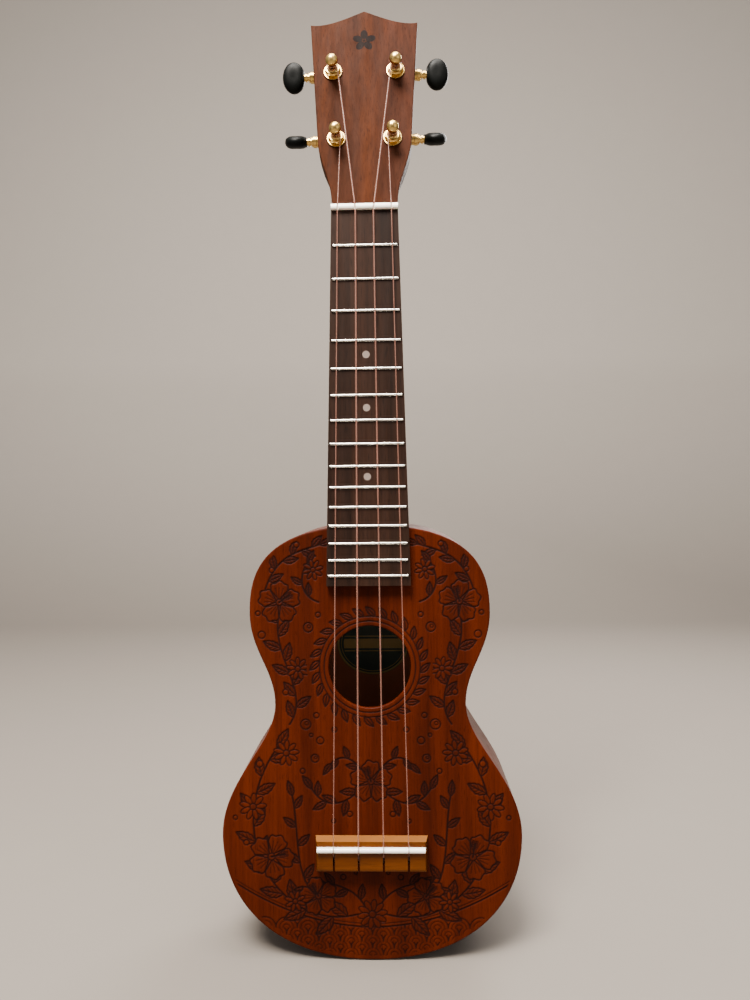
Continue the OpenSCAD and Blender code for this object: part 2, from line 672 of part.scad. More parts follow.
module mounting_screw() color(case_gold) translate([0, lug_y, head_back]) difference() {
    union() {
        rod(-1.4, 8.4, screw_r, $fn = 24);
        rod(-2.5, 1.1, 1.5, 1.9, $fn = 32);
    }
    translate([-2.5, -0.2, -2.6]) cube([5, 0.4, 0.5]);
}

// ---------- nodes ----------

soundboard();
back_plate();
bent_side(true);  // side_left
bent_side(false);  // side_right
lining(inner_front);  // lining_front
lining(inner_back - lining_h);  // lining_back
neck_block();
tail_block();
top_brace(131);  // top_brace_upper
top_brace(64);  // top_brace_lower
bridge_patch();
back_brace(134);  // back_brace_upper
back_brace(46);  // back_brace_middle
back_brace(-6);  // back_brace_lower
label();
neck();
heel_cap();
fretboard();
frets();
position_dots();
nut();
bridge();
saddle();
string(0);  // string_g
string(1);  // string_c
string(2);  // string_e
string(3);  // string_a
winding(0);  // winding_g
winding(1);  // winding_c
winding(2);  // winding_e
winding(3);  // winding_a
at_post(0) tuner_housing();  // tuner_housing_g
at_post(1) tuner_housing();  // tuner_housing_c
at_post(2) tuner_housing();  // tuner_housing_e
at_post(3) tuner_housing();  // tuner_housing_a
at_post(0) post();  // post_g
at_post(1) post();  // post_c
at_post(2) post();  // post_e
at_post(3) post();  // post_a
at_post(0) worm_wheel();  // worm_wheel_g
at_post(1) worm_wheel();  // worm_wheel_c
at_post(2) worm_wheel();  // worm_wheel_e
at_post(3) worm_wheel();  // worm_wheel_a
at_post(0) worm_shaft();  // worm_shaft_g
at_post(1) worm_shaft();  // worm_shaft_c
at_post(2) worm_shaft();  // worm_shaft_e
at_post(3) worm_shaft();  // worm_shaft_a
at_post(0) button(0);  // button_g
at_post(1) button(1);  // button_c
at_post(2) button(2);  // button_e
at_post(3) button(3);  // button_a
at_post(0) button_screw();  // button_screw_g
at_post(1) button_screw();  // button_screw_c
at_post(2) button_screw();  // button_screw_e
at_post(3) button_screw();  // button_screw_a
each_post() tuner_cover();  // tuner_covers
each_post() post_bushing();  // post_bushings
each_post() post_washer();  // post_washers
each_post() mounting_screw();  // mounting_screws
each_post() shaft_bushing();  // shaft_bushings
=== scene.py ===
import math

import bmesh
import bpy
import numpy as np
from mathutils import Matrix, Vector


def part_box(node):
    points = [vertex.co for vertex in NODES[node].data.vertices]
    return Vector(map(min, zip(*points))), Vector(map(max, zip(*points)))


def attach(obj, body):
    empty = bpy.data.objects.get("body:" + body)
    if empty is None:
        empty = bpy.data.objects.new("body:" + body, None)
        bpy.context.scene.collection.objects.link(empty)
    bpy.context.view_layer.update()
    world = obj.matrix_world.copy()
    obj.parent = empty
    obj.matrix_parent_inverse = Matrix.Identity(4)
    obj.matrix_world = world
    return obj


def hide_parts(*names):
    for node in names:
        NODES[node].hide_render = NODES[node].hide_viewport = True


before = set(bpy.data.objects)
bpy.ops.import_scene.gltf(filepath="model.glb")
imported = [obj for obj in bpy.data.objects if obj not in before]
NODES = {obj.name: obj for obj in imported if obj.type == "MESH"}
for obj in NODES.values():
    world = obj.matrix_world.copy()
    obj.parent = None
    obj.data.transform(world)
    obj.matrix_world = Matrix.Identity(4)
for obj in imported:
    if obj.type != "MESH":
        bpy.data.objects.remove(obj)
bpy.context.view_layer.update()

MM = 0.001


def span(node):
    low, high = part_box(node)
    return np.array(low) / MM, np.array(high) / MM


# Body
BODY_LOW, BODY_HIGH = span("soundboard")
FRONT = BODY_LOW[1]                    # outer face of the soundboard
TOP, BOTTOM = BODY_HIGH[2], BODY_LOW[2]
UPPER_Z, UPPER_HALF = 128.3, 66.7      # height and half width of the upper bout
WAIST_Z, WAIST_HALF = 77.3, 53.0
LOWER_Z, LOWER_HALF = 4.3, 83.3        # of the lower bout
HOLE_R, HOLE_Z, HOLE_EDGE = 22.8, 98.0, 0.7
SIDE_T, PLATE_T = 2.0, 2.0
GROOVE_DEPTH, TONE_DEPTH = 0.32, 0.05  # engraved lines and shaded areas

# Neck and headstock
NUT_Z, HEAD_Z = span("nut")[0][2], span("nut")[1][2]
BOARD_Y = span("fretboard")[0][1]
NUT_HALF = 18.3
TILT = math.radians(10)
TILT_SIN, TILT_COS = math.sin(TILT), math.cos(TILT)
HEAD_T = 11.0
HEAD_EDGE = 0.55
EMBLEM = np.array([0.0, 103.5])

# Tuners, on the headstock's own plane (across, up). Strings run g, c, e, a from -X to +X.
STRINGS = "gcea"
POSTS = {"g": (-15.8, 41.6), "c": (-17.8, 83.6), "e": (17.8, 83.6), "a": (15.8, 41.6)}
BUTTON_UP, BUTTON_Z = 9.35, -HEAD_T - 4.6  # button axis above the post and behind the face

# Strings
STRING_D = {"g": 0.62, "c": 0.91, "e": 0.81, "a": 0.62}
SADDLE_PITCH, NUT_PITCH = 13.65, 9.8
SLOT_Y = BOARD_Y - 0.9 - 0.2           # floor of the nut slots
SADDLE_Y, SADDLE_R = BOARD_Y - 5.8, 1.4
POST_WAIST_R, WRAP_LOW, POST_HOLE_UP = 2.2, 3.75, 7.95


def from_head(points):
    """Headstock points (across, up, out of the face) in the instrument's frame."""
    x, up, out = np.moveaxis(np.asarray(points, float), -1, 0)
    y = FRONT + up * TILT_SIN - out * TILT_COS
    return np.stack([x, y, HEAD_Z + up * TILT_COS + out * TILT_SIN], -1)


def to_head(point):
    x, y, z = np.asarray(point, float) - [0, FRONT, HEAD_Z]
    return np.array([x, y * TILT_SIN + z * TILT_COS, -y * TILT_COS + z * TILT_SIN])


def on_head(outline, out):
    """A flat outline laid parallel to the headstock's face."""
    return from_head(np.column_stack([outline, np.full(len(outline), out)]))


# ---------------------------------------------------------------- plane curves

def signed_power(x, power):
    return np.sign(x) * np.abs(x) ** power


def bezier(a, b, c, d, t):
    t = np.asarray(t)[:, None]
    a, b, c, d = (np.asarray(v, float)[None, :] for v in (a, b, c, d))
    return (1 - t) ** 3 * a + 3 * t * (1 - t) ** 2 * b + 3 * t * t * (1 - t) * c + t ** 3 * d


def circle(centre, r, n=40):
    a = np.linspace(0, 2 * math.pi, n, endpoint=False)
    return np.stack([centre[0] + r * np.cos(a), centre[1] + r * np.sin(a)], 1)


def oval(centre, angle, reach, half_length, half_width, n):
    """An oval petal that points away from the centre at an angle."""
    u = np.linspace(0, 2 * math.pi, n, endpoint=False)
    points = np.stack([reach + half_length * np.cos(u), half_width * np.sin(u)], 1)
    ca, sa = math.cos(angle), math.sin(angle)
    return np.array(centre) + points @ np.array([[ca, sa], [-sa, ca]])


def mirrored(half):
    """A half curve that ends on the mirror plane, continued back up the other side."""
    return np.concatenate([half, (half[:-1] * [-1, 1])[::-1]])


def inset_poly(outline, distance):
    """Moves a closed counter-clockwise outline inwards, with mitred corners."""
    before = outline - np.roll(outline, 1, 0)
    after = np.roll(outline, -1, 0) - outline
    before /= np.linalg.norm(before, axis=1)[:, None]
    after /= np.linalg.norm(after, axis=1)[:, None]
    normal = np.stack([-before[:, 1], before[:, 0]], 1)
    mitre = normal + np.stack([-after[:, 1], after[:, 0]], 1)
    mitre /= np.linalg.norm(mitre, axis=1)[:, None]
    length = distance / np.clip((mitre * normal).sum(1), 0.4, 1)
    return outline + mitre * length[:, None]


def half_outline():
    """The body's +X half from the top to the tail, as (x, z)."""
    t = np.linspace(0, 1, 150, endpoint=False)
    upper, waist, lower = (UPPER_HALF, UPPER_Z), (WAIST_HALF, WAIST_Z), (LOWER_HALF, LOWER_Z)
    return np.concatenate([
        bezier([0, TOP], [61.5, TOP], [UPPER_HALF, UPPER_Z + 20.4], upper, t),
        bezier(upper, [UPPER_HALF, UPPER_Z - 21.2], [WAIST_HALF, WAIST_Z + 19.3], waist, t),
        bezier(waist, [WAIST_HALF, WAIST_Z - 22.2], [LOWER_HALF, LOWER_Z + 30.5], lower, t),
        bezier(lower, [LOWER_HALF, LOWER_Z - 41.5], [51.2, BOTTOM], [0, BOTTOM],
               np.append(t, 1.0))])


HALF = half_outline()


def half_inset(distance):
    tangent = np.gradient(HALF, axis=0)
    tangent[0], tangent[-1] = (1, 0), (-1, 0)
    tangent /= np.linalg.norm(tangent, axis=1)[:, None]
    return HALF + distance * np.stack([tangent[:, 1], -tangent[:, 0]], 1)


def half_width(z, inset):
    half = half_inset(inset)
    return np.interp(z, half[::-1, 1], half[::-1, 0], left=-1, right=-1)


# ---------------------------------------------------------------- meshes

def add_object(name, data, material=None):
    obj = bpy.data.objects.new(name, data)
    bpy.context.scene.collection.objects.link(obj)
    if material:
        data.materials.append(material)
    return obj


def array_mesh(name, verts, quads, tris, material):
    """A large mesh built straight from arrays."""
    mesh = bpy.data.meshes.new(name)
    coords = np.ascontiguousarray(np.asarray(verts, np.float64) * MM, dtype=np.float32)
    quads = np.asarray(quads, np.int32).reshape(-1, 4)
    tris = np.asarray(tris, np.int32).reshape(-1, 3)
    mesh.vertices.add(len(coords))
    mesh.vertices.foreach_set("co", coords.ravel())
    corners = np.concatenate([quads.ravel(), tris.ravel()])
    mesh.loops.add(len(corners))
    mesh.loops.foreach_set("vertex_index", corners)
    start = np.concatenate([np.arange(len(quads)) * 4, len(quads) * 4 + np.arange(len(tris)) * 3])
    total = np.concatenate([np.full(len(quads), 4), np.full(len(tris), 3)])
    mesh.polygons.add(len(start))
    mesh.polygons.foreach_set("loop_start", start.astype(np.int32))
    mesh.polygons.foreach_set("loop_total", total.astype(np.int32))
    mesh.polygons.foreach_set("use_smooth", np.ones(len(start), bool))
    mesh.update(calc_edges=True)
    mesh.validate()
    return add_object(name, mesh, material)


def fix_normals(obj):
    bm = bmesh.new()
    bm.from_mesh(obj.data)
    bmesh.ops.recalc_face_normals(bm, faces=bm.faces)
    bm.to_mesh(obj.data)
    bm.free()


def loft(name, loops, material):
    """A smooth closed solid through a row of equal loops, capped at both ends."""
    n, m = len(loops), len(loops[0])
    faces = []
    for i in range(n - 1):
        for j in range(m):
            k = (j + 1) % m
            faces.append((i * m + j, i * m + k, (i + 1) * m + k, (i + 1) * m + j))
    faces.append(tuple(range(m - 1, -1, -1)))
    faces.append(tuple((n - 1) * m + j for j in range(m)))
    mesh = bpy.data.meshes.new(name)
    mesh.from_pydata([tuple(v) for v in np.concatenate(loops) * MM], [], faces)
    mesh.validate()
    mesh.update()
    mesh.polygons.foreach_set("use_smooth", [True] * len(mesh.polygons))
    obj = add_object(name, mesh, material)
    fix_normals(obj)
    return obj


def flat_normals(obj):
    """Weights the shading by face area, which keeps flat faces flat beside rounded edges."""
    weighted = obj.modifiers.new("normals", "WEIGHTED_NORMAL")
    weighted.mode = "FACE_AREA_WITH_ANGLE"
    weighted.weight = 50
    weighted.keep_sharp = True


def mark_sharp(obj, angle):
    """Marks sharp edges in the mesh itself, so that the surface stays closed."""
    mesh = obj.data
    bm = bmesh.new()
    bm.from_mesh(mesh)
    for edge in bm.edges:
        if len(edge.link_faces) == 2:
            edge.smooth = edge.calc_face_angle(0) < math.radians(angle)
    bm.to_mesh(mesh)
    bm.free()
    mesh.polygons.foreach_set("use_smooth", [True] * len(mesh.polygons))
    mesh.update()


def boolean(obj, tool, operation):
    """Applies a boolean to obj and removes the tool."""
    modifier = obj.modifiers.new("b", "BOOLEAN")
    modifier.operation, modifier.solver, modifier.object = operation, "EXACT", tool
    depsgraph = bpy.context.evaluated_depsgraph_get()
    mesh = bpy.data.meshes.new_from_object(obj.evaluated_get(depsgraph))
    obj.modifiers.clear()
    obj.data = mesh
    bpy.data.objects.remove(tool)


def place(obj, body, nodes):
    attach(obj, body)
    if nodes:
        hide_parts(*nodes)


# ---------------------------------------------------------------- engraved drawing
# A mirrored ornament of leafy branches, flowers, scallops and berries, made of strokes on a grid.

GRID = 0.2


class Drawing:
    def __init__(self, x0, x1, z0, z1):
        self.x0, self.z0 = x0, z0
        self.nx, self.nz = int((x1 - x0) / GRID) + 2, int((z1 - z0) / GRID) + 2
        self.line = np.zeros((self.nz, self.nx), np.float32)
        self.tone = np.zeros((self.nz, self.nx), np.float32)

    def window(self, low, high):
        """The part of the grid between two corners, or None where it is empty."""
        i0 = max(0, int((low[0] - self.x0) / GRID))
        i1 = min(self.nx, int((high[0] - self.x0) / GRID) + 2)
        j0 = max(0, int((low[1] - self.z0) / GRID))
        j1 = min(self.nz, int((high[1] - self.z0) / GRID) + 2)
        if i0 >= i1 or j0 >= j1:
            return None
        x = self.x0 + GRID * np.arange(i0, i1)[None, :]
        z = self.z0 + GRID * np.arange(j0, j1)[:, None]
        return (slice(j0, j1), slice(i0, i1)), x, z

    def stroke(self, points, width, strength=1.0, taper=False, closed=False):
        points = np.asarray(points, float)
        if closed:
            points = np.vstack([points, points[:1]])
        n = len(points)
        for i in range(n - 1):
            a, b = points[i], points[i + 1]
            u = (i + 0.5) / (n - 1)
            swell = math.sin(math.pi * u) ** 0.45 * 0.85 + 0.15 if taper else 1
            half = 0.48 * width * swell
            reach = half + 0.35
            window = self.window(np.minimum(a, b) - reach, np.maximum(a, b) + reach)
            if not window:
                continue
            part, x, z = window
            d = b - a
            t = np.clip(((x - a[0]) * d[0] + (z - a[1]) * d[1]) / (float(d @ d) + 1e-9), 0, 1)
            distance = np.hypot(x - a[0] - t * d[0], z - a[1] - t * d[1])
            value = np.clip((half + 0.16 - distance) / 0.32, 0, 1) * strength
            np.maximum(self.line[part], value.astype(np.float32), out=self.line[part])

    def fill(self, outline, tone=0.0):
        """Clears the lines inside an outline and shades it."""
        outline = np.asarray(outline, float)
        window = self.window(outline.min(0), outline.max(0))
        if not window:
            return
        part, x, z = window
        inside = np.zeros((z.shape[0], x.shape[1]), bool)
        for i in range(len(outline)):
            (xa, za), (xb, zb) = outline[i - 1], outline[i]
            if za != zb:
                inside ^= ((za > z) != (zb > z)) & (x < (xb - xa) * (z - za) / (zb - za) + xa)
        self.line[part][inside] = 0
        self.tone[part][inside] = tone

    def shape(self, outline, width, tone=0.0):
        self.fill(outline, tone)
        self.stroke(outline, width, closed=True)

    def sample(self, x, z):
        """Line and tone at scattered points."""
        fx = np.clip((x - self.x0) / GRID, 0, self.nx - 2)
        fz = np.clip((z - self.z0) / GRID, 0, self.nz - 2)
        i, j = fx.astype(int), fz.astype(int)
        u, v = fx - i, fz - j
        return [f[j, i] * (1 - u) * (1 - v) + f[j, i + 1] * u * (1 - v)
                + f[j + 1, i] * (1 - u) * v + f[j + 1, i + 1] * u * v
                for f in (self.line, self.tone)]


def draw_leaf(art, base, angle, length, width, bend, tone, veins):
    t = np.linspace(0, 1, 22)
    ca, sa = math.cos(angle), math.sin(angle)

    def bent(u, v):
        """Points at u along and v across the leaf."""
        v = v + bend * length * (u / length) ** 2
        return np.stack([base[0] + u * ca - v * sa, base[1] + u * sa + v * ca], -1)

    half = width / 2 * np.sin(math.pi * t ** 0.85) ** 0.9 * (1 + 0.08 * np.sin(9 * math.pi * t))
    outline = np.concatenate([bent(t * length, half), bent(t * length, -half)[::-1]])
    art.shape(outline, 0.75, tone)
    art.stroke(bent(t * length * 0.95, 0 * t), 0.7, taper=True)
    for i in range(1, veins + 1):
        u = i / (veins + 1.3)
        end = np.interp(min(1, u + 0.16), t, half) * 0.8
        along = np.array([u * length, (u + 0.1) * length, (u + 0.19) * length])
        for side in (1, -1):
            across = np.array([0, side * end * 0.55, side * end])
            art.stroke(bent(along, across), 0.5, 0.8, taper=True)


def wavy_petal(centre, angle, r, spread, phase):
    u = np.linspace(-1, 1, 26)
    radius = r * (1 - 0.28 * np.abs(u) ** 2.6) * (1 + 0.05 * np.sin(u * 9 + phase))
    a = angle + spread * u * (1 - 0.15 * np.abs(u))
    outer = np.stack([centre[0] + radius * np.cos(a), centre[1] + radius * np.sin(a)], 1)
    foot = [centre[0] + 0.12 * r * math.cos(angle), centre[1] + 0.12 * r * math.sin(angle)]
    return np.vstack([[foot], outer])


def draw_hibiscus(art, centre, r, turn):
    centre = np.array(centre)
    for i in range(5):
        a = turn + 2 * math.pi * i / 5
        art.shape(wavy_petal(centre, a, r, math.pi / 5 * 1.15, i * 2.1), 0.75, 0.14)
        for f in (-0.45, 0.0, 0.45):
            b = a + f * math.pi / 5
            direction = np.array([math.cos(b), math.sin(b)])
            art.stroke([centre + r * s * direction for s in (0.2, 0.45, 0.72)],
                       0.5, 0.75, taper=True)
    art.shape(circle(centre, r * 0.16, 18), 0.6, 0.6)
    # the long stamen, with pairs of dots along it
    axis = np.array([math.cos(turn + 0.3), math.sin(turn + 0.3)])
    across = np.array([-axis[1], axis[0]])
    art.stroke([centre, centre + axis * r * 0.62], 1.0)
    for s in (0.42, 0.52, 0.62, 0.7):
        for side in (-1, 1):
            art.shape(circle(centre + axis * r * s + side * across, 0.55, 10), 0.4, 0.5)


def draw_daisy(art, centre, r, turn, petals=9):
    for i in range(petals):
        a = turn + 2 * math.pi * i / petals
        art.shape(oval(centre, a, r * 0.6, r * 0.4, r * 0.19, 22), 0.6, 0.16)
    art.shape(circle(centre, r * 0.24, 18), 0.65, 0.5)


def draw_branch(art, points, leaves, base_length, tip_length, side, width, spread):
    """A curved stem with leaves to either side and one at its tip."""
    t = np.linspace(0, 1, 70)
    stem = bezier(*points, t)
    tangent = np.gradient(stem, axis=0)
    art.stroke(stem, 1.0)
    for i in range(leaves):
        u = (i + 0.7) / (leaves + 0.4)
        base = [np.interp(u, t, stem[:, axis]) for axis in (0, 1)]
        dx, dz = (np.interp(u, t, tangent[:, axis]) for axis in (0, 1))
        angle = math.atan2(dz, dx) + side * math.radians(spread + 10 * math.sin(2.3 * i))
        length = base_length + (tip_length - base_length) * u
        draw_leaf(art, base, angle, length, length * width, -0.12 * side, 0.42, 4)
        side = -side
    dx, dz = tangent[-1]
    draw_leaf(art, stem[-1], math.atan2(dz, dx), tip_length * 1.1, tip_length * width,
              0.08, 0.42, 4)


def draw_branches(art, table, side):
    for points, leaves, base_length, tip_length, lean, width, spread in table:
        draw_branch(art, [(side * x, z) for x, z in points], leaves, base_length, tip_length,
                    side * lean, width, spread)


def draw_scales(art, z, z_end, r):
    """Rows of overlapping scallops."""
    row = 0
    u = np.linspace(0, math.pi, 16)
    while z < z_end:
        for i in range(-12, 13):
            x = (i + 0.5 * (row % 2)) * 2 * r
            for f, width, strength in ((1.0, 0.6, 0.95), (0.66, 0.45, 0.75), (0.33, 0.45, 0.75)):
                arc = np.stack([x + r * f * np.cos(u), z + r * f * np.sin(u)], 1)
                if f == 1.0:
                    art.fill(arc)
                art.stroke(arc, width, strength)
        row += 1
        z += r * 0.62


# Branches on the +X half: stem's four Bezier points (x, z), leaves, leaf length at the base and
# at the tip, side of the first leaf, leaf width over length, leaf angle in degrees
BRANCHES = [
    # lower bout
    (((8, -40), (52, -52), (86, 6), (52, 53)), 15, 14.0, 11.0, 1, 0.46, 50),
    (((30, -30), (44, -22), (40, 6), (44, 26)), 6, 10.0, 8.0, -1, 0.44, 55),
    (((3, -38), (8, -26), (18, -24), (27, -22)), 3, 9.0, 8.0, 1, 0.44, 55),
    # waist and upper bout
    (((45, 66), (32, 84), (56, 104), (50, 128)), 9, 9.5, 11.0, -1, 0.46, 50),
    (((58, 140), (52, 160), (40, 162), (27, 166)), 6, 9.0, 8.0, 1, 0.44, 48),
    (((28, 134), (40, 138), (38, 150), (34, 156)), 3, 7.5, 7.0, 1, 0.44, 52)]
# between bridge and soundhole
SPRIGS = [
    (((4, 32), (14, 20), (26, 18), (33, 30)), 5, 9.5, 8.0, 1, 0.44, 52),
    (((3, 36), (8, 48), (17, 50), (22, 44)), 3, 7.5, 7.0, -1, 0.44, 50)]
# Flowers on the +X half: kind, x, z, radius, turn, turn added on this side and taken off on the
# other, petals of a daisy
FLOWERS = [
    (draw_hibiscus, 56, -8, 12.5, 0.5, 0.6), (draw_hibiscus, 30, -30, 10.5, 1.2, -0.6),
    (draw_daisy, 66, 20, 7.6, 0, 0.6, 9), (draw_daisy, 43, -33, 6.0, 0.3, 0.6, 8),
    (draw_daisy, 47, 50, 7.2, 0.2, -0.6, 9), (draw_hibiscus, 50, 134, 11.5, 0.9, 0.6),
    (draw_daisy, 40, 97, 6.4, 0.1, 0.6, 9), (draw_daisy, 31, 152, 5.8, 0.25, 0, 8)]
# Berries on the +X half: x, z, radius
BERRIES = [
    (36, 66, 2.8), (30, 71, 1.5), (28, 57, 2.0), (20, 63, 1.4), (47, 84, 1.6), (34, 120, 2.6),
    (28.5, 127, 1.4), (60, 116, 2.0), (57, 98, 1.3), (31, 47, 2.2), (38, 40, 1.4),
    (12, 16, 1.5), (21, 12, 1.1), (70, 0, 1.5), (76, 14, 1.2), (62, 44, 1.8), (16, -19, 1.5),
    (9, -16.5, 1.0), (33, 60, 1.0), (62, 128, 1.3), (40, 166, 1.5), (54, 152, 1.4)]


def build_drawing():
    art = Drawing(-86, 86, BOTTOM - 2, TOP + 2)
    # scallops at the tail, cut off by a plain curved line
    draw_scales(art, -70, -44, 6.0)
    x = np.linspace(-80, 80, 80)
    rim = np.stack([x, -47 + 15 * (x / 60) ** 2], 1)
    art.fill(np.vstack([rim, [[80, 60], [-80, 60]]]))
    art.stroke(rim, 0.9)
    art.stroke(rim + [0, 1.8], 0.5, 0.8)
    for side in (-1, 1):
        draw_branches(art, BRANCHES, side)
        for draw, x, z, r, turn, mirror_turn, *petals in FLOWERS:
            draw(art, (side * x, z), r, turn + mirror_turn * side, *petals)
        for x, z, r in BERRIES:
            art.shape(circle((side * x, z), r), 0.65)
            if r > 2:
                art.shape(circle((side * x + r * 0.2, z + r * 0.2), r * 0.36, 16), 0.45)
    draw_daisy(art, (0, -40), 8.4, 0.16, 10)
    for side in (-1, 1):
        draw_branches(art, SPRIGS, side)
    draw_hibiscus(art, (0, 34), 11.5, math.pi / 2)
    # a wreath of small leaves round the hole
    hole = np.array([0, HOLE_Z])
    wreath_r, leaves = 28.0, 28
    art.fill(circle(hole, 35.0, 90))
    for i in range(leaves):
        a = 2 * math.pi * (i + 0.5) / leaves
        base = hole + wreath_r * np.array([math.cos(a), math.sin(a)])
        draw_leaf(art, base, a + 0.75, 7.4, 3.3, 0.1, 0.34, 0)
    art.stroke(circle(hole, wreath_r, 110), 0.6, closed=True)
    art.stroke(circle(hole, 25.4, 110), 0.7, closed=True)
    # nothing right at the edge
    z = art.z0 + GRID * np.arange(art.nz)
    x = art.x0 + GRID * np.arange(art.nx)
    margin = np.clip((half_width(z, 2.2)[:, None] - np.abs(x)[None, :]) / 0.5, 0, 1)
    art.line *= margin
    art.tone *= margin
    return art


# ---------------------------------------------------------------- materials

def srgb(*channels):
    """A linear colour from 0-255 sRGB channels."""
    return (*(((c / 255 + 0.055) / 1.055) ** 2.4 if c > 10.3 else c / 255 / 12.92
              for c in channels), 1.0)


def grey(value):
    return (value, value, value, 1)


class Shader:
    """A material with a principled surface, and short calls for the nodes that feed it."""

    def __init__(self, name):
        self.material = bpy.data.materials.new(name)
        self.material.use_nodes = True
        self.tree = self.material.node_tree
        self.tree.nodes.clear()
        output = self.node("ShaderNodeOutputMaterial")
        self.surface = self.node("ShaderNodeBsdfPrincipled")
        self.feed(output.inputs[0], self.surface.outputs[0])
        self.coords = self.node("ShaderNodeTexCoord").outputs["Object"]

    def node(self, kind, **settings):
        node = self.tree.nodes.new(kind)
        for key, value in settings.items():
            setattr(node, key, value)
        return node

    def feed(self, socket, value):
        """Links a socket, or sets its plain value."""
        if isinstance(value, bpy.types.NodeSocket):
            self.tree.links.new(value, socket)
        else:
            socket.default_value = value

    def set(self, **values):
        for key, value in values.items():
            self.feed(self.surface.inputs[key.replace("_", " ")], value)

    def mapped(self, scale, offset=(0, 0, 0)):
        mapping = self.node("ShaderNodeMapping")
        mapping.inputs["Scale"].default_value = scale
        mapping.inputs["Location"].default_value = offset
        self.feed(mapping.inputs["Vector"], self.coords)
        return mapping.outputs[0]

    def noise(self, scale, offset=(0, 0, 0), detail=3.0, rough=0.55, distort=0.0):
        vector = self.mapped(scale, offset)
        noise = self.node("ShaderNodeTexNoise")
        for key, value in (("Scale", 1.0), ("Detail", detail), ("Roughness", rough),
                           ("Distortion", distort), ("Vector", vector)):
            self.feed(noise.inputs[key], value)
        return noise.outputs["Fac"]

    def ramp(self, factor, *stops):
        """A colour ramp. A stop is (position, colour or grey value)."""
        ramp = self.node("ShaderNodeValToRGB")
        elements = ramp.color_ramp.elements
        elements.remove(elements[-1])
        for i, (position, colour) in enumerate(stops):
            element = elements.new(position) if i else elements[0]
            element.position = position
            element.color = colour if isinstance(colour, tuple) else grey(colour)
        self.feed(ramp.inputs[0], factor)
        return ramp.outputs[0]

    def mix(self, factor, a, b, blend="MIX"):
        mix = self.node("ShaderNodeMix", data_type="RGBA", blend_type=blend)
        for index, value in ((0, factor), (6, a), (7, b)):
            self.feed(mix.inputs[index], value)
        return mix.outputs[2]

    def math(self, operation, *values, clamp=False):
        math_node = self.node("ShaderNodeMath", operation=operation, use_clamp=clamp)
        for socket, value in zip(math_node.inputs, values):
            self.feed(socket, value)
        return math_node.outputs[0]

    def mul(self, a, b):
        return self.math("MULTIPLY", a, b)

    def split(self, vector):
        node = self.node("ShaderNodeSeparateXYZ")
        self.feed(node.inputs[0], vector)
        return node.outputs

    def geometry(self, output):
        return self.split(self.node("ShaderNodeNewGeometry").outputs[output])

    def attribute(self, name):
        return self.node("ShaderNodeAttribute", attribute_name=name).outputs["Fac"]

    def bump(self, height, strength, distance):
        bump = self.node("ShaderNodeBump")
        bump.inputs["Strength"].default_value = strength
        bump.inputs["Distance"].default_value = distance
        self.feed(bump.inputs["Height"], height)
        self.set(Normal=bump.outputs[0])


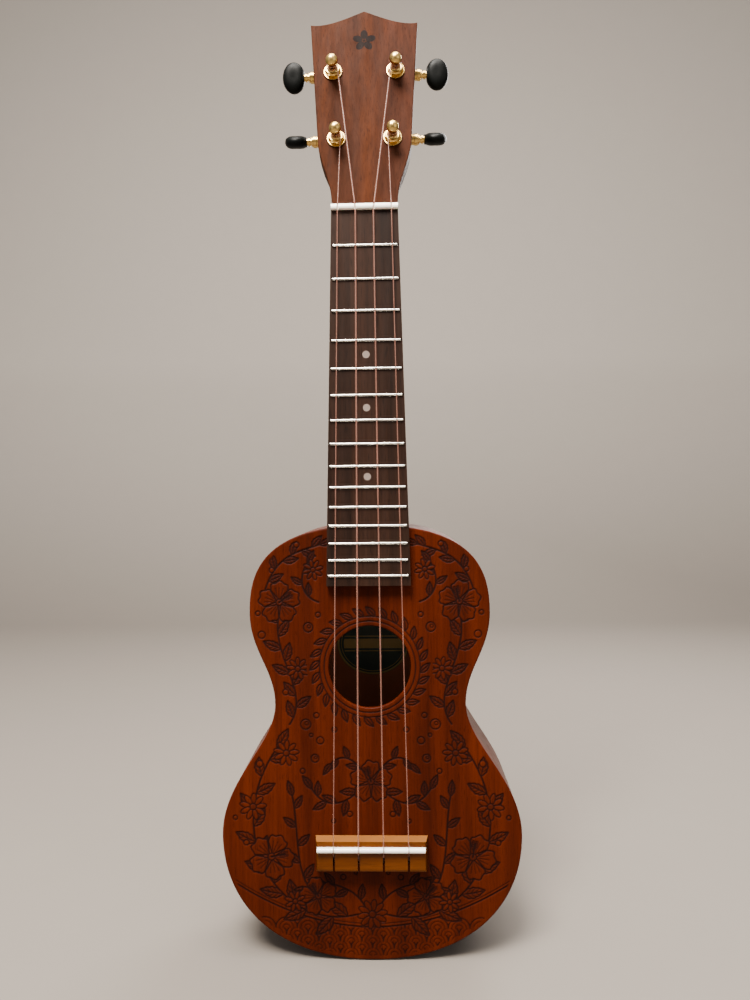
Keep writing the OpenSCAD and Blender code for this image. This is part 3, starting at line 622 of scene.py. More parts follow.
def wood(name, tones, rough=0.5, pore=0.55, grain=(1, 1, 1), seed=0.0, coat=0.0, specular=0.12,
         engraved=False, bands=None, painted_sheen_up=None, pale_front=None):
    """Open-pored wood from dark, middle and light tones.

    The grain runs along the axis that comes out with the smallest scale.
    """
    mat = Shader(name)
    dark, middle, light = (srgb(*tone) for tone in tones)

    def along_grain(across, along, offset=(0, 0, 0), **settings):
        scale = (across * grain[0], across * grain[1], along * grain[2])
        return mat.noise(scale, offset, **settings)

    # broad ribbons, fine streaks and short dark pores
    ribbons = along_grain(90, 5, (seed, seed * 2, seed), detail=3.5, distort=0.35)
    fine = along_grain(700, 18, (seed * 3, 1, seed), rough=0.6)
    colour = mat.ramp(ribbons, (0.28, dark), (0.5, middle), (0.72, light))
    colour = mat.mix(0.75, colour, mat.ramp(fine, (0.3, 0.72), (0.62, 1.12)), "MULTIPLY")
    if bands:
        # wide soft bands across X, from -32 to 32 mm, that waver along the grain
        x = mat.split(mat.mapped((1, 1, 1)))[0]
        waver = mat.noise((20, 20, 9), detail=2.0)
        x = mat.math("ADD", mat.mul(x, 1000.0), mat.mul(mat.math("SUBTRACT", waver, 0.5), 7.0))
        x = mat.math("DIVIDE", mat.math("ADD", x, 32.0), 64.0, clamp=True)
        colour = mat.mix(0.85, colour, mat.ramp(x, *bands), "MULTIPLY")
    clouds = mat.noise((14, 14, 9), (seed, 0, 0), detail=2.0)
    colour = mat.mix(0.6, colour, mat.ramp(clouds, (0.3, 0.82), (0.7, 1.16)), "MULTIPLY")
    pores = mat.ramp(along_grain(1900, 150, (seed, 5, 2), detail=2.0, rough=0.5),
                     (0.30, 1), (0.42, 0))
    pore_colour = (dark[0] * 0.35, dark[1] * 0.35, dark[2] * 0.35, 1)
    colour = mat.mix(mat.mul(pores, pore), colour, pore_colour)
    if painted_sheen_up:
        # painted sheen: paler on faces that look up the neck, standing in for the gloss that
        # catches the light from above
        facing = mat.ramp(mat.geometry("Normal")[2], (0.25, 0), (0.8, 1))
        colour = mat.mix(mat.mul(facing, 0.75), colour, srgb(*painted_sheen_up))
    if pale_front:
        # the unfinished face that looks forwards, into the box, is paler than the lacquer
        facing = mat.ramp(mat.mul(mat.geometry("Normal")[1], -1.0), (0.6, 0), (0.9, 1))
        colour = mat.mix(mat.mul(facing, 0.85), colour, srgb(*pale_front))
    roughness = mat.ramp(along_grain(260, 30), (0.3, rough - 0.07), (0.7, rough + 0.08))
    height = mat.math("SUBTRACT", mat.mul(fine, 0.35), pores)
    if engraved:
        ink, tone = mat.attribute("ink"), mat.attribute("tone")
        patchy = mat.ramp(mat.noise((420, 420, 60), detail=2.0), (0.35, 0.55), (0.65, 1.0))
        colour = mat.mix(mat.mul(tone, mat.mul(patchy, 0.88)), colour, srgb(30, 9, 6))
        colour = mat.mix(mat.mul(ink, 0.92), colour, srgb(15, 5, 4))
        roughness = mat.mix(mat.mul(ink, 0.7), roughness, grey(0.8))
    mat.set(Base_Color=colour, Roughness=roughness, Coat_Weight=coat, Coat_Roughness=0.28,
            Specular_IOR_Level=specular)
    mat.bump(height, strength=0.28, distance=0.00012)
    return mat.material


def even(name, colour, rough, vary, fade, clouds, fine_scale, rough_range, bump, **surface):
    """A plain material whose colour and roughness drift a little.

    vary times fade is the drop of each channel; clouds is the noise scale and detail.
    """
    mat = Shader(name)
    drift = mat.noise((clouds[0],) * 3, detail=clouds[1])
    fine = mat.noise((fine_scale,) * 3, detail=2.0)
    low = (*(channel * (1 - vary * drop) for channel, drop in zip(colour, fade)), 1)
    mat.set(Base_Color=mat.ramp(drift, (0.3, low), (0.7, colour)),
            Roughness=mat.ramp(drift, (0.3, rough * rough_range[0]), (0.7, rough * rough_range[1])),
            **surface)
    mat.bump(fine, strength=bump, distance=0.00003)
    return mat.material


def metal(name, colour, rough, vary=0.05, bump=0.04):
    return even(name, colour, rough, vary, fade=(1, 1, 1.4), clouds=(110, 1.5), fine_scale=3500,
                rough_range=(0.88, 1.18), bump=bump, Metallic=1.0)


def plastic(name, colour, rough, vary, subsurface=0.0, coat=0.0, specular=0.5):
    return even(name, srgb(*colour), rough, vary, fade=(1, 1.1, 1.3), clouds=(160, 3.0),
                fine_scale=2500, rough_range=(0.85, 1.2), bump=0.06, Coat_Weight=coat,
                Subsurface_Weight=subsurface, Subsurface_Scale=0.002,
                Specular_IOR_Level=specular)


# tint across the neck: position from -X to +X, colour
NECK_BANDS = [
    (0.0, (1.0, 0.86, 0.70, 1)), (0.18, (1.04, 0.84, 0.60, 1)), (0.28, (0.92, 0.84, 0.84, 1)),
    (0.46, (0.95, 0.86, 0.84, 1)), (0.53, (1.12, 0.88, 0.58, 1)), (0.60, (1.0, 0.86, 0.78, 1)),
    (0.72, (0.93, 0.86, 0.98, 1)), (1.0, (0.94, 0.88, 1.0, 1))]
CROSS_GRAIN = (0.06, 1, 15)            # grain along X

mat_top = wood("engraved_mahogany", ((49, 12, 1), (62, 17, 1), (75, 23, 1)), rough=0.47,
               pore=0.5, seed=1.3, specular=0.06, engraved=True)
mat_side = wood("side_mahogany", ((52, 14, 4), (68, 20, 6), (84, 28, 9)), rough=0.4,
                pore=0.5, seed=4.1, coat=0.06, specular=0.25)
mat_back = wood("back_mahogany", ((48, 12, 3), (64, 18, 5), (80, 26, 8)), rough=0.42,
                pore=0.5, seed=7.7, coat=0.05, specular=0.2, pale_front=(150, 84, 52))
mat_neck = wood("neck_mahogany", ((46, 23, 12), (58, 31, 17), (70, 38, 22)), rough=0.55,
                pore=0.5, seed=2.2, specular=0.02, bands=NECK_BANDS)
mat_board = wood("rosewood", ((22, 11, 6), (37, 21, 13), (48, 29, 20)), pore=0.75,
                 grain=(1.2, 1.2, 0.8), seed=3.9)
# the bridge's upward faces get a painted sheen, a lighter tone as if lit from above
mat_bridge = wood("bridge_wood", ((63, 27, 1), (79, 37, 2), (93, 48, 4)), rough=0.34,
                  pore=0.35, grain=CROSS_GRAIN, seed=5.5, coat=0.1, specular=0.08,
                  painted_sheen_up=(130, 84, 42))
mat_bare = wood("bare_cedar", ((150, 118, 80), (182, 148, 104), (204, 172, 126)), rough=0.72,
                pore=0.3, seed=6.1)
mat_brace = wood("bare_spruce", ((178, 148, 104), (208, 180, 134), (224, 200, 156)), rough=0.7,
                 pore=0.15, grain=CROSS_GRAIN, seed=8.3)
mat_gold = metal("gold_plate", (0.62, 0.40, 0.125, 1), rough=0.25, bump=0.03)
mat_fret = metal("nickel_silver", (0.58, 0.56, 0.52, 1), rough=0.22, vary=0.06)
mat_wheel = metal("gear_brass", (0.72, 0.50, 0.2, 1), rough=0.34)
mat_nut = plastic("nut_ivory", (250, 246, 232), rough=0.3, vary=0.03, subsurface=0.1)
mat_saddle = plastic("saddle_white", (255, 252, 244), rough=0.2, vary=0.02, subsurface=0.1,
                     coat=0.5)
mat_pearl = plastic("pearl_dots", (128, 114, 106), rough=0.3, vary=0.12, coat=0.1)
mat_black = plastic("black_button", (5, 6, 5), rough=0.42, vary=0.2, specular=0.08)
mat_ink = wood("emblem_stain", ((13, 7, 6), (19, 11, 9), (25, 15, 12)), rough=0.6, pore=0.4,
               seed=9.2, specular=0.03)


def nylon():
    mat = Shader("nylon")
    tint = mat.ramp(mat.noise((300, 300, 40), detail=2.0),
                    (0.3, srgb(138, 94, 80)), (0.7, srgb(156, 110, 96)))
    mat.set(Base_Color=tint, Roughness=0.3, Alpha=0.38, IOR=1.53, Specular_IOR_Level=0.4)
    mat.bump(mat.noise((900, 900, 200), detail=2.0), strength=0.1, distance=0.00003)
    return mat.material


def label_print():
    """Dark green paper with two gold oval rings, a gold band and a gold line above and below."""
    mat = Shader("label_print")
    low, high = span("label")
    centre_x, centre_z = (low[0] + high[0]) / 2 * MM, (low[2] + high[2]) / 2 * MM
    x, _, z = mat.split(mat.mapped((1, 1, 1), (-centre_x, 0, -centre_z)))
    x = mat.mul(x, 19.6 / 22.6)        # height of the ovals over their width
    square_sum = mat.math("ADD", mat.mul(x, x), mat.mul(z, z))
    radius = mat.mul(mat.math("SQRT", square_sum), 1000.0)
    height = mat.mul(mat.math("ABSOLUTE", z), 1000.0)

    def below(value, limit):
        return mat.math("LESS_THAN", value, limit)

    def near(value, middle, half):
        return below(mat.math("ABSOLUTE", mat.math("SUBTRACT", value, middle)), half)

    band = mat.mul(below(height, 3.0), below(radius, 16.0))
    lines = mat.mul(near(height, 4.6, 0.3), below(radius, 16.2))
    rings = mat.math("MAXIMUM", near(radius, 18.9, 0.5), near(radius, 17.3, 0.2))
    gold = mat.math("MAXIMUM", rings, mat.math("MAXIMUM", lines, band))
    paper = mat.ramp(mat.noise((1500, 1500, 1500)),
                     (0.3, srgb(26, 40, 27)), (0.7, srgb(38, 54, 36)))
    mat.set(Base_Color=mat.mix(gold, paper, srgb(150, 122, 62)), Roughness=0.6)
    mat.bump(mat.noise((4000, 4000, 4000), detail=2.0), strength=0.1, distance=0.00002)
    return mat.material


mat_nylon = nylon()
mat_label = label_print()


# ---------------------------------------------------------------- carried-over CAD nodes

def dress(node, material, bevel=0.0, segments=2):
    """Gives a CAD piece its material, rounded edges and clean shading."""
    obj = NODES[node]
    obj.data.materials.clear()
    obj.data.materials.append(material)
    obj.modifiers.new("weld", "WELD").merge_threshold = 2e-6
    if bevel:
        rounding = obj.modifiers.new("bevel", "BEVEL")
        rounding.width = bevel * MM
        rounding.segments = segments
        rounding.limit_method = "ANGLE"
        rounding.angle_limit = math.radians(35)
        rounding.harden_normals = False
        rounding.use_clamp_overlap = True
    obj.data.polygons.foreach_set("use_smooth", [True] * len(obj.data.polygons))
    split = obj.modifiers.new("edges", "EDGE_SPLIT")
    split.split_angle = math.radians(32)
    split.use_edge_sharp = False
    flat_normals(obj)


# nodes, material, bevel width, bevel segments
for names, *look in (
        ("fretboard", mat_board, 0.25), ("frets", mat_fret), ("position_dots", mat_pearl),
        ("nut", mat_nut, 0.15), ("bridge", mat_bridge, 0.6, 3), ("saddle", mat_saddle),
        ("heel_cap", mat_board), ("label", mat_label), ("lining_front lining_back", mat_bare),
        ("neck_block tail_block", mat_bare, 0.3),
        ("top_brace_upper top_brace_lower bridge_patch", mat_brace, 0.3),
        ("back_brace_upper back_brace_middle back_brace_lower", mat_brace, 0.3),
        ("post_bushings post_washers mounting_screws shaft_bushings", mat_gold, 0.12, 3)):
    for name in names.split():
        dress(name, *look)
for string in STRINGS:
    dress("tuner_housing_" + string, mat_gold, 0.35, 3)
    dress("post_" + string, mat_gold)
    dress("worm_shaft_" + string, mat_gold)
    dress("worm_wheel_" + string, mat_wheel)
    dress("button_screw_" + string, mat_gold)


# ---------------------------------------------------------------- soundboard and back

def grid_cells(xs, zs, step, edge, hole):
    """Corner indices of the grid cells that lie clear of the rim and of the hole."""
    x, z = (xs[:-1] + xs[1:]) / 2, (zs[:-1] + zs[1:]) / 2
    clearance = 0.45 * step
    keep = np.abs(x)[None, :] < half_width(z, edge)[:, None] - clearance
    if hole:
        keep &= np.hypot(x[None, :], z[:, None] - HOLE_Z) > HOLE_R + HOLE_EDGE + clearance
    # drop cells that hang on by one side
    for _ in range(3):
        neighbours = np.zeros(keep.shape, int)
        neighbours[1:] += keep[:-1]
        neighbours[:-1] += keep[1:]
        neighbours[:, 1:] += keep[:, :-1]
        neighbours[:, :-1] += keep[:, 1:]
        keep &= neighbours >= 2
    j, i = np.nonzero(keep)
    corner = j * len(xs) + i
    return np.stack([corner, corner + 1, corner + len(xs) + 1, corner + len(xs)], 1)


def boundary_loops(quads):
    edges = np.concatenate([quads[:, [i, (i + 1) % 4]] for i in range(4)])
    _, first, count = np.unique(np.sort(edges, 1), axis=0, return_index=True,
                                return_counts=True)
    following = {int(a): int(b) for a, b in edges[first[count == 1]]}
    loops = []
    left = set(following)
    while left:
        start = left.pop()
        loop = [start]
        vert = following[start]
        while vert != start:
            loop.append(vert)
            left.discard(vert)
            vert = following[vert]
        loops.append(np.array(loop))
    return loops


def foot_point(outline, index, point):
    """The nearest point on the two outline segments that meet at a vertex."""
    feet = []
    for start in (index - 1, index):
        a, b = outline[start % len(outline)], outline[(start + 1) % len(outline)]
        d = b - a
        feet.append(a + np.clip(((point - a) @ d) / (d @ d), 0, 1) * d)
    return min(feet, key=lambda foot: ((point - foot) ** 2).sum())


def fill_triangles(verts, loops, facing):
    """Triangles of the flat inner face between its boundary loops."""
    bm = bmesh.new()
    for loop in loops:
        corners = [bm.verts.new(verts[k]) for k in loop]
        for k in range(len(corners)):
            bm.edges.new((corners[k], corners[(k + 1) % len(corners)]))
    source = np.concatenate(loops)
    bm.verts.index_update()
    bmesh.ops.triangle_fill(bm, edges=bm.edges[:], use_beauty=False, use_dissolve=False)
    bm.verts.index_update()
    tris = []
    for face in bm.faces:
        ids = [source[v.index] for v in face.verts]
        tris.append(ids[::-1] if face.normal.y * facing < 0 else ids)
    bm.free()
    return tris


def plate(name, y_face, y_back, step, edge, material, drawing=None, hole=False):
    """A plate with a gridded outer face at y_face, rounded edges and a flat inner face."""
    inward = 1 if y_face < y_back else -1
    rim = mirrored(half_inset(edge))[:-1]
    along = np.roll(rim, -1, 0) - np.roll(rim, 1, 0)
    along /= np.linalg.norm(along, axis=1)[:, None]
    rim_normal = np.stack([-along[:, 1], along[:, 0]], 1)
    xs = np.arange(-84.5, 84.6, step)
    zs = np.arange(BOTTOM - 1, TOP + 1, step)
    cells = grid_cells(xs, zs, step, edge, hole)
    used, inverse = np.unique(cells, return_inverse=True)
    cells = inverse.reshape(cells.shape)
    grid_x, grid_z = np.meshgrid(xs, zs)
    points = np.stack([grid_x.ravel()[used], grid_z.ravel()[used]], 1)
    face_count = total = len(points)
    layers = [np.stack([points[:, 0], np.full(total, y_face), points[:, 1]], 1)]
    quads = [cells]
    back_loops = []
    for loop in boundary_loops(cells):
        # pull the ragged boundary onto the outline, then run the rounded edge down from it
        ragged = points[loop]
        if hole and np.hypot(ragged[:, 0], ragged[:, 1] - HOLE_Z).max() < 40:
            a = np.arctan2(ragged[:, 1] - HOLE_Z, ragged[:, 0])
            normal = -np.stack([np.cos(a), np.sin(a)], 1)
            radius = HOLE_EDGE
            target = np.stack([(HOLE_R + radius) * np.cos(a),
                               HOLE_Z + (HOLE_R + radius) * np.sin(a)], 1)
        else:
            nearest = [int(np.argmin(((rim - p) ** 2).sum(1))) for p in ragged]
            normal = rim_normal[nearest]
            radius = edge
            target = np.array([foot_point(rim, k, p) for k, p in zip(nearest, ragged)])
        points[loop] = target
        layers[0][loop, 0], layers[0][loop, 2] = target[:, 0], target[:, 1]
        n = len(loop)
        profile = [(radius * math.sin(a), radius * (1 - math.cos(a)))
                   for a in np.linspace(0, math.pi / 2, 5)[1:]]
        for out, down in profile + [(radius, abs(y_back - y_face))]:
            ring = target + normal * out
            layers.append(np.stack([ring[:, 0], np.full(n, y_face + inward * down),
                                    ring[:, 1]], 1))
            current = np.arange(total, total + n)
            quads.append(np.stack([np.roll(loop, -1), loop, current, np.roll(current, -1)], 1))
            loop = current
            total += n
        back_loops.append(loop)
    verts = np.concatenate(layers)
    quads = np.concatenate(quads)
    if inward < 0:
        quads = quads[:, ::-1]
    ink = np.zeros(len(verts), np.float32)
    tone = np.zeros(len(verts), np.float32)
    if drawing is not None:
        # the grooves, pressed into the outer face
        face = slice(0, face_count)
        ink[face], tone[face] = drawing.sample(verts[face, 0], verts[face, 2])
        verts[face, 1] += inward * (GROOVE_DEPTH * ink[face] + TONE_DEPTH * tone[face])
    tris = fill_triangles(verts, back_loops, inward)
    obj = array_mesh(name, verts, quads, tris, material)
    # guards against a vertex count changed by the mesh's validation
    if len(obj.data.vertices) == len(verts):
        for key, values in (("ink", ink), ("tone", tone)):
            attribute = obj.data.attributes.new(key, "FLOAT", "POINT")
            attribute.data.foreach_set("value", values)
    mark_sharp(obj, 50)
    return obj


top_step = 0.36
top = plate("soundboard_engraved", FRONT, FRONT + PLATE_T, top_step, 0.7, mat_top,
            build_drawing(), hole=True)
place(top, "instrument", ["soundboard"])
back = plate("back_plate_rounded", 0.0, -PLATE_T, 3.0, 0.8, mat_back)
place(back, "instrument", ["back_plate"])


# ---------------------------------------------------------------- sides

def rib(name, side):
    """One bent side, from beside the neck to the middle of the tail."""
    outer, inner = half_inset(0.0), half_inset(SIDE_T)
    start = int(np.argmax(outer[:, 0] >= 9.0))
    outer, inner = outer[start:], inner[start:]
    outer[-1, 0] = inner[-1, 0] = 0.02
    front, rear = FRONT + PLATE_T, -PLATE_T
    loops = []
    for (xo, zo), (xi, zi) in zip(outer, inner):
        loops.append(np.array([
            [side * xo, front, zo], [side * xo, front + 0.4, zo], [side * xo, rear - 0.4, zo],
            [side * xo, rear, zo], [side * xi, rear, zi], [side * xi, front, zi]]))
    obj = loft(name, loops, mat_side)
    mark_sharp(obj, 45)
    return obj


place(rib("side_left_bent", -1), "instrument", ["side_left"])
place(rib("side_right_bent", 1), "instrument", ["side_right"])


# ---------------------------------------------------------------- neck

SECTION_POINTS = 40                    # points on half a neck section
# Last sections below the headstock: z, half width, depth, exponents of width and depth
NECK_END = [(346, NUT_HALF + 0.024 * (NUT_Z - 346), 13.2, 0.62, 0.68),
            (349.5, NUT_HALF, 13.1, 0.58, 0.62)]
# Sections inside the headstock: distance up it, then the same columns
HEAD_ROOT = [(2.2, 18.15, 12.7, 0.46, 0.5), (6, 18.0, 11.9, 0.36, 0.4),
             (10, 17.7, 11.2, 0.29, 0.33), (14, 17.3, 10.8, 0.24, 0.27)]


def rounded_half(half, depth, width_power, depth_power):
    """Half a D-shaped section, as (x, depth behind the front face)."""
    a = np.linspace(0, math.pi / 2, 260)
    return np.stack([half * signed_power(np.cos(a), width_power),
                     depth * np.abs(np.sin(a)) ** depth_power], 1)


def section(curve):
    """A half section, evenly spaced and mirrored."""
    lengths = np.linalg.norm(np.diff(curve, axis=0), axis=1)
    s = np.concatenate([[0], np.cumsum(lengths)])
    t = np.linspace(0, s[-1], SECTION_POINTS)
    return mirrored(np.stack([np.interp(t, s, curve[:, 0]), np.interp(t, s, curve[:, 1])], 1))


def level(points, z):
    return np.stack([points[:, 0], FRONT + points[:, 1], np.full(len(points), z)], 1)


def heel_section(z):
    """The heel at height z: depths behind the front face, ascending, and half widths."""
    y = np.concatenate([np.linspace(-2.02, -10, 90), np.linspace(-10, -59.9, 260)])
    u = np.clip((-y - 2) / 45, 0, 1)
    half = 10.5 + 11.2 * u ** 0.9
    reach = 12 + 1.5 * u + 34 * u ** 4.2
    s = np.clip((z - TOP + 2) / (reach + 2), 0, 1) ** (1 / 0.8)
    x = half * np.clip(1 - s * s, 0, None) ** 0.425
    return (y - FRONT)[::-1], x[::-1]


def neck_section(z):
    """The neck's D blended into the heel where the heel stands out behind it."""
    half = NUT_HALF + 0.024 * (NUT_Z - z)
    neck_depth = 14.6 - 1.4 * (z - 176) / 156
    squarer = np.clip((z - 330) / 20, 0, 1)
    neck = rounded_half(half, neck_depth, 0.8 - 0.12 * squarer, 0.9 - 0.15 * squarer)
    depth, heel_x = heel_section(z)
    if heel_x[depth > neck_depth].max(initial=0) < 0.05:
        return section(neck)
    neck_x = np.interp(depth, neck[:, 1], neck[:, 0], right=0.0)
    soft = 1.6
    blend = np.log(np.exp(np.clip(heel_x / soft, 0, 60))
                   + np.exp(np.clip(neck_x / soft, 0, 60)) - 1) * soft
    x = np.where((heel_x > 0) | (neck_x > 0), blend, 0)
    x = np.minimum(x, np.maximum(half, heel_x))
    last = np.nonzero((heel_x > 1e-6) | (neck_x > 1e-6))[0][-1]
    curve = np.stack([x[: last + 1], depth[: last + 1]], 1)
    curve = np.vstack([[half, 0.0], curve[curve[:, 1] > 0.15]])
    return section(np.vstack([curve, [0.0, curve[-1, 1]]]))


def neck_loops():
    heights = np.concatenate([np.arange(174.9, 194, 0.6), np.arange(194, 232, 1.2),
                              np.arange(232, 342, 5.0)])
    loops = [level(neck_section(z), z) for z in heights]
    loops += [level(section(rounded_half(*shape)), z) for z, *shape in NECK_END]
    for up, *shape in HEAD_ROOT:
        points = section(rounded_half(*shape))
        depth = np.maximum(points[:, 1], 0.08)
        loops.append(from_head(np.stack([points[:, 0], np.full(len(points), float(up)),
                                         -depth], 1)))
    return loops


def head_outline():
    def t(n):
        return np.linspace(0, 1, n)

    return mirrored(np.concatenate([
        np.array([[NUT_HALF, 0.0]]),
        bezier([18.4, 4], [18.6, 13], [22.4, 22], [24.6, 30.5], t(26)),
        bezier([24.6, 30.5], [25.5, 34], [26.1, 36.5], [26.35, 41], t(12))[1:],
        np.stack([np.linspace(26.35, 30.8, 12)[1:], np.linspace(41, 114.6, 12)[1:]], 1),
        bezier([30.8, 114.6], [21, 112.8], [8, 119.6], [0, 122.8], t(34))[1:]]))


def head_loops():
    """The headstock from face to back, with rounded edges."""
    outline = head_outline()
    arc = np.linspace(0, math.pi / 2, 4)
    profile = [(HEAD_EDGE * (1 - math.sin(a)), -HEAD_EDGE * (1 - math.cos(a))) for a in arc]
    profile += [(0.0, -depth) for depth in (2.0, 4.0, 6.0, 8.0, 9.5)]
    profile += [(HEAD_EDGE * (1 - math.cos(a)), -HEAD_T + HEAD_EDGE * (1 - math.sin(a)))
                for a in arc]
    loops = []
    for inset, z in profile:
        points = inset_poly(outline, inset)
        # towards the back the lower end climbs, so that it runs out into the neck
        low_end = np.clip(1 - points[:, 1] / 30, 0, 1) ** 2
        points[:, 1] += 12.5 * (-z / HEAD_T) ** 1.3 * low_end
        loops.append(on_head(points, z))
    return loops


def build_neck():
    neck = loft("neck_carved", neck_loops(), mat_neck)
    boolean(neck, loft("headstock_tmp", head_loops(), mat_neck), "UNION")
    # a through bore for each string post and a pilot hole for each mounting screw:
    # distance below the post, radius, lower and upper end
    bores = ((0.0, 4.03, -HEAD_T - 2, 2.0), (11.2, 0.95, -HEAD_T - 1, -3.0))
    for string in STRINGS:
        x, up = POSTS[string]
        for down, r, low, high in bores:
            ring = circle((x, up - down), r, 48)
            cutter = loft("bore_tmp", [on_head(ring, low), on_head(ring, high)], mat_neck)
            boolean(neck, cutter, "DIFFERENCE")
    neck.data.materials.clear()
    neck.data.materials.append(mat_neck)
    mark_sharp(neck, 40)
    flat_normals(neck)
    place(neck, "instrument", ["neck"])


def emblem_piece(name, outline):
    """A flat piece let into the headstock's face."""
    obj = loft(name, [on_head(outline, -0.3), on_head(outline, 0.03)], mat_ink)
    mark_sharp(obj, 30)
    place(obj, "instrument", None)


build_neck()
# Emblem: a small blossom of five petals round a dot
for i in range(5):
    emblem_piece("emblem_petal_%d" % (i + 1),
                 oval(EMBLEM, math.pi / 2 + 2 * math.pi * i / 5, 3.9, 2.9, 2.05, 28))
emblem_piece("emblem_heart", circle(EMBLEM, 0.8, 20))


# ---------------------------------------------------------------- strings

def tube(name, path, r, sides=14):
    """A nylon tube along a path, with slightly rounded ends."""
    path = np.asarray(path, float)
    tangent = np.gradient(path, axis=0)
    tangent /= np.linalg.norm(tangent, axis=1)[:, None]
    a = np.cross(tangent[0], np.array([1, 0.13, 0.07]))
    a /= np.linalg.norm(a)
    u = 2 * math.pi * np.arange(sides) / sides
    rings = []
    for point, t in zip(path, tangent):
        a = a - t * (a @ t)
        a /= np.linalg.norm(a)
        b = np.cross(t, a)
        rings.append(point + r * (np.cos(u)[:, None] * a + np.sin(u)[:, None] * b))

    def tip(i, sign):
        return path[i] + sign * tangent[i] * r * 0.35 + (rings[i] - path[i]) * 0.6

    return loft(name, [tip(0, -1), *rings, tip(-1, 1)], mat_nylon)


def post_spiral(string, wrap_r, angle, out):
    x, up = POSTS[string]
    return [x + wrap_r * math.cos(angle), up + wrap_r * math.sin(angle), out]


def strand_path(string, index, turn_side, wrap_r, pitch):
    """From the bridge slot over saddle and nut to the first turn round the post."""
    r = STRING_D[string] / 2
    saddle_x, nut_x = (index - 1.5) * SADDLE_PITCH, (index - 1.5) * NUT_PITCH
    # (distance in front of the soundboard, z) behind the saddle
    points = [[saddle_x, FRONT - out, z] for out, z in
              ((3.4, -9.0), (4, -8.55), (4.5, -8.05), (5, -7.5), (5.8, -6.45))]
    crown_y, bend_r = SADDLE_Y + SADDLE_R, SADDLE_R + r + 0.03
    points += [[saddle_x, crown_y - bend_r * math.cos(a), -bend_r * math.sin(a)]
               for a in np.radians([40, 34, 28, 22, 16, 10, 5, 0])]
    saddle = np.array(points[-1])
    nut = np.array([nut_x, SLOT_Y - r, NUT_Z])
    points += [saddle + (nut - saddle) * t for t in np.linspace(0, 1, 40)[1:]]
    # the turn starts where the string touches the post
    to_nut = to_head(nut)[:2] - POSTS[string]
    start = (math.atan2(to_nut[1], to_nut[0])
             + turn_side * math.acos(wrap_r / np.linalg.norm(to_nut)))
    wrap = []
    for t in np.radians(np.linspace(0, 380, 76)):
        out = WRAP_LOW + r + pitch * max(0, math.degrees(t) - 20) / 360
        wrap.append(from_head(post_spiral(string, wrap_r, start + turn_side * t, out)))
    nut = np.array(points[-1])
    points += [nut + (wrap[0] - nut) * t for t in np.linspace(0, 1, 14)[1:-1]]
    return np.array(points + wrap)


def winding_path(string, turn_side, wrap_r, pitch):
    """The upper turns, then into the post's hole and out at the far side."""
    x, up = POSTS[string]
    start_out = WRAP_LOW + STRING_D[string] / 2 + pitch + STRING_D[string] + 0.08
    end = math.pi if turn_side > 0 else 0.0
    turns = math.radians(450)
    points = []
    for t in np.linspace(0, 1, 90):
        out = min(POST_HOLE_UP, start_out + (POST_HOLE_UP - start_out) * t * 30 / 26)
        points.append(post_spiral(string, wrap_r, end + turn_side * (turns * t - turns), out))
    points += [[x - turn_side * wrap_r * f, up, POST_HOLE_UP]
               for f in (0.86, 0.6, 0.2, -0.3, -0.8, -1.1, -1.32)]
    return from_head(points)


def knot_path(index):
    """The knot under the bridge's slot."""
    u = np.linspace(0, 2 * math.pi * 1.9, 60)
    return np.stack([(index - 1.5) * SADDLE_PITCH + 0.62 * np.cos(u),
                     FRONT - 2.25 + 0.55 * np.sin(u) + 0.1 * u / 6,
                     -9.3 + 0.62 * np.sin(u * 1.5)], 1)


for index, string in enumerate(STRINGS):
    turn_side = 1 if index < 2 else -1
    r = STRING_D[string] / 2
    turn = (turn_side, POST_WAIST_R + r + 0.06, STRING_D[string] + 0.06)
    strand = tube("string_%s_strand" % string, strand_path(string, index, *turn), r)
    place(strand, "instrument", ["string_" + string])
    winding = tube("string_%s_winding" % string, winding_path(string, *turn), r * 0.98)
    place(winding, "string_post_" + string, ["winding_" + string])
    knot = tube("string_%s_knot" % string, knot_path(index), r * 0.9, sides=10)
    place(knot, "instrument", None)


# ---------------------------------------------------------------- buttons

BUTTON_OUT = 24.5                      # button's centre from the post
BUTTON_IN_X, BUTTON_OUT_X = -6.15, 6.62
BUTTON_R, BUTTON_HALF_W, BUTTON_HALF_T = 6.7, 8.9, 3.75
COLLAR_HALF_W, COLLAR_HALF_T = 3.3, 2.7  # where it meets the shaft


def button(string, side):
    x0, up0 = POSTS[string]
    turn = math.radians(-57 if string in "ga" else 14)
    t = np.linspace(0, 1, 34)
    a = 2 * math.pi * np.arange(56) / 56
    eased = (0.5 - 0.5 * np.cos(math.pi * t)) ** 0.92
    rings = []
    for x in BUTTON_IN_X + (BUTTON_OUT_X - BUTTON_IN_X) * eased:
        w = BUTTON_HALF_W * math.sqrt(max(0, 1 - (x / BUTTON_R) ** 2))
        h = BUTTON_HALF_T * max(0, 1 - (abs(x) / BUTTON_R) ** 2.8) ** (1 / 2.2)
        f = min(1, max(0, (-x - 3.6) / 1.6))
        f = f * f * (3 - 2 * f)
        w = w * (1 - f) + max(w, COLLAR_HALF_W) * f
        h = h * (1 - f) + max(h, COLLAR_HALF_T) * f
        rings.append(np.stack([np.full(56, x), w * signed_power(np.cos(a), 0.86),
                               h * signed_power(np.sin(a), 0.86)], 1))
    x, y, z = np.moveaxis(np.array(rings), -1, 0)
    # a shallow dish in each flat
    z = z * (1 - 0.10 * np.exp(-((x / 3.6) ** 2 + (y / 5.0) ** 2)))
    ct, st = math.cos(turn), math.sin(turn)
    points = np.stack([x0 + side * (x + BUTTON_OUT), up0 + BUTTON_UP + y * ct - z * st,
                       BUTTON_Z + y * st + z * ct], -1)
    obj = loft("button_%s_oval" % string, from_head(points), mat_black)
    mark_sharp(obj, 60)
    place(obj, "button_shaft_" + string, ["button_" + string])


for index, string in enumerate(STRINGS):
    button(string, -1 if index < 2 else 1)


# ---------------------------------------------------------------- covers on the tuner housings

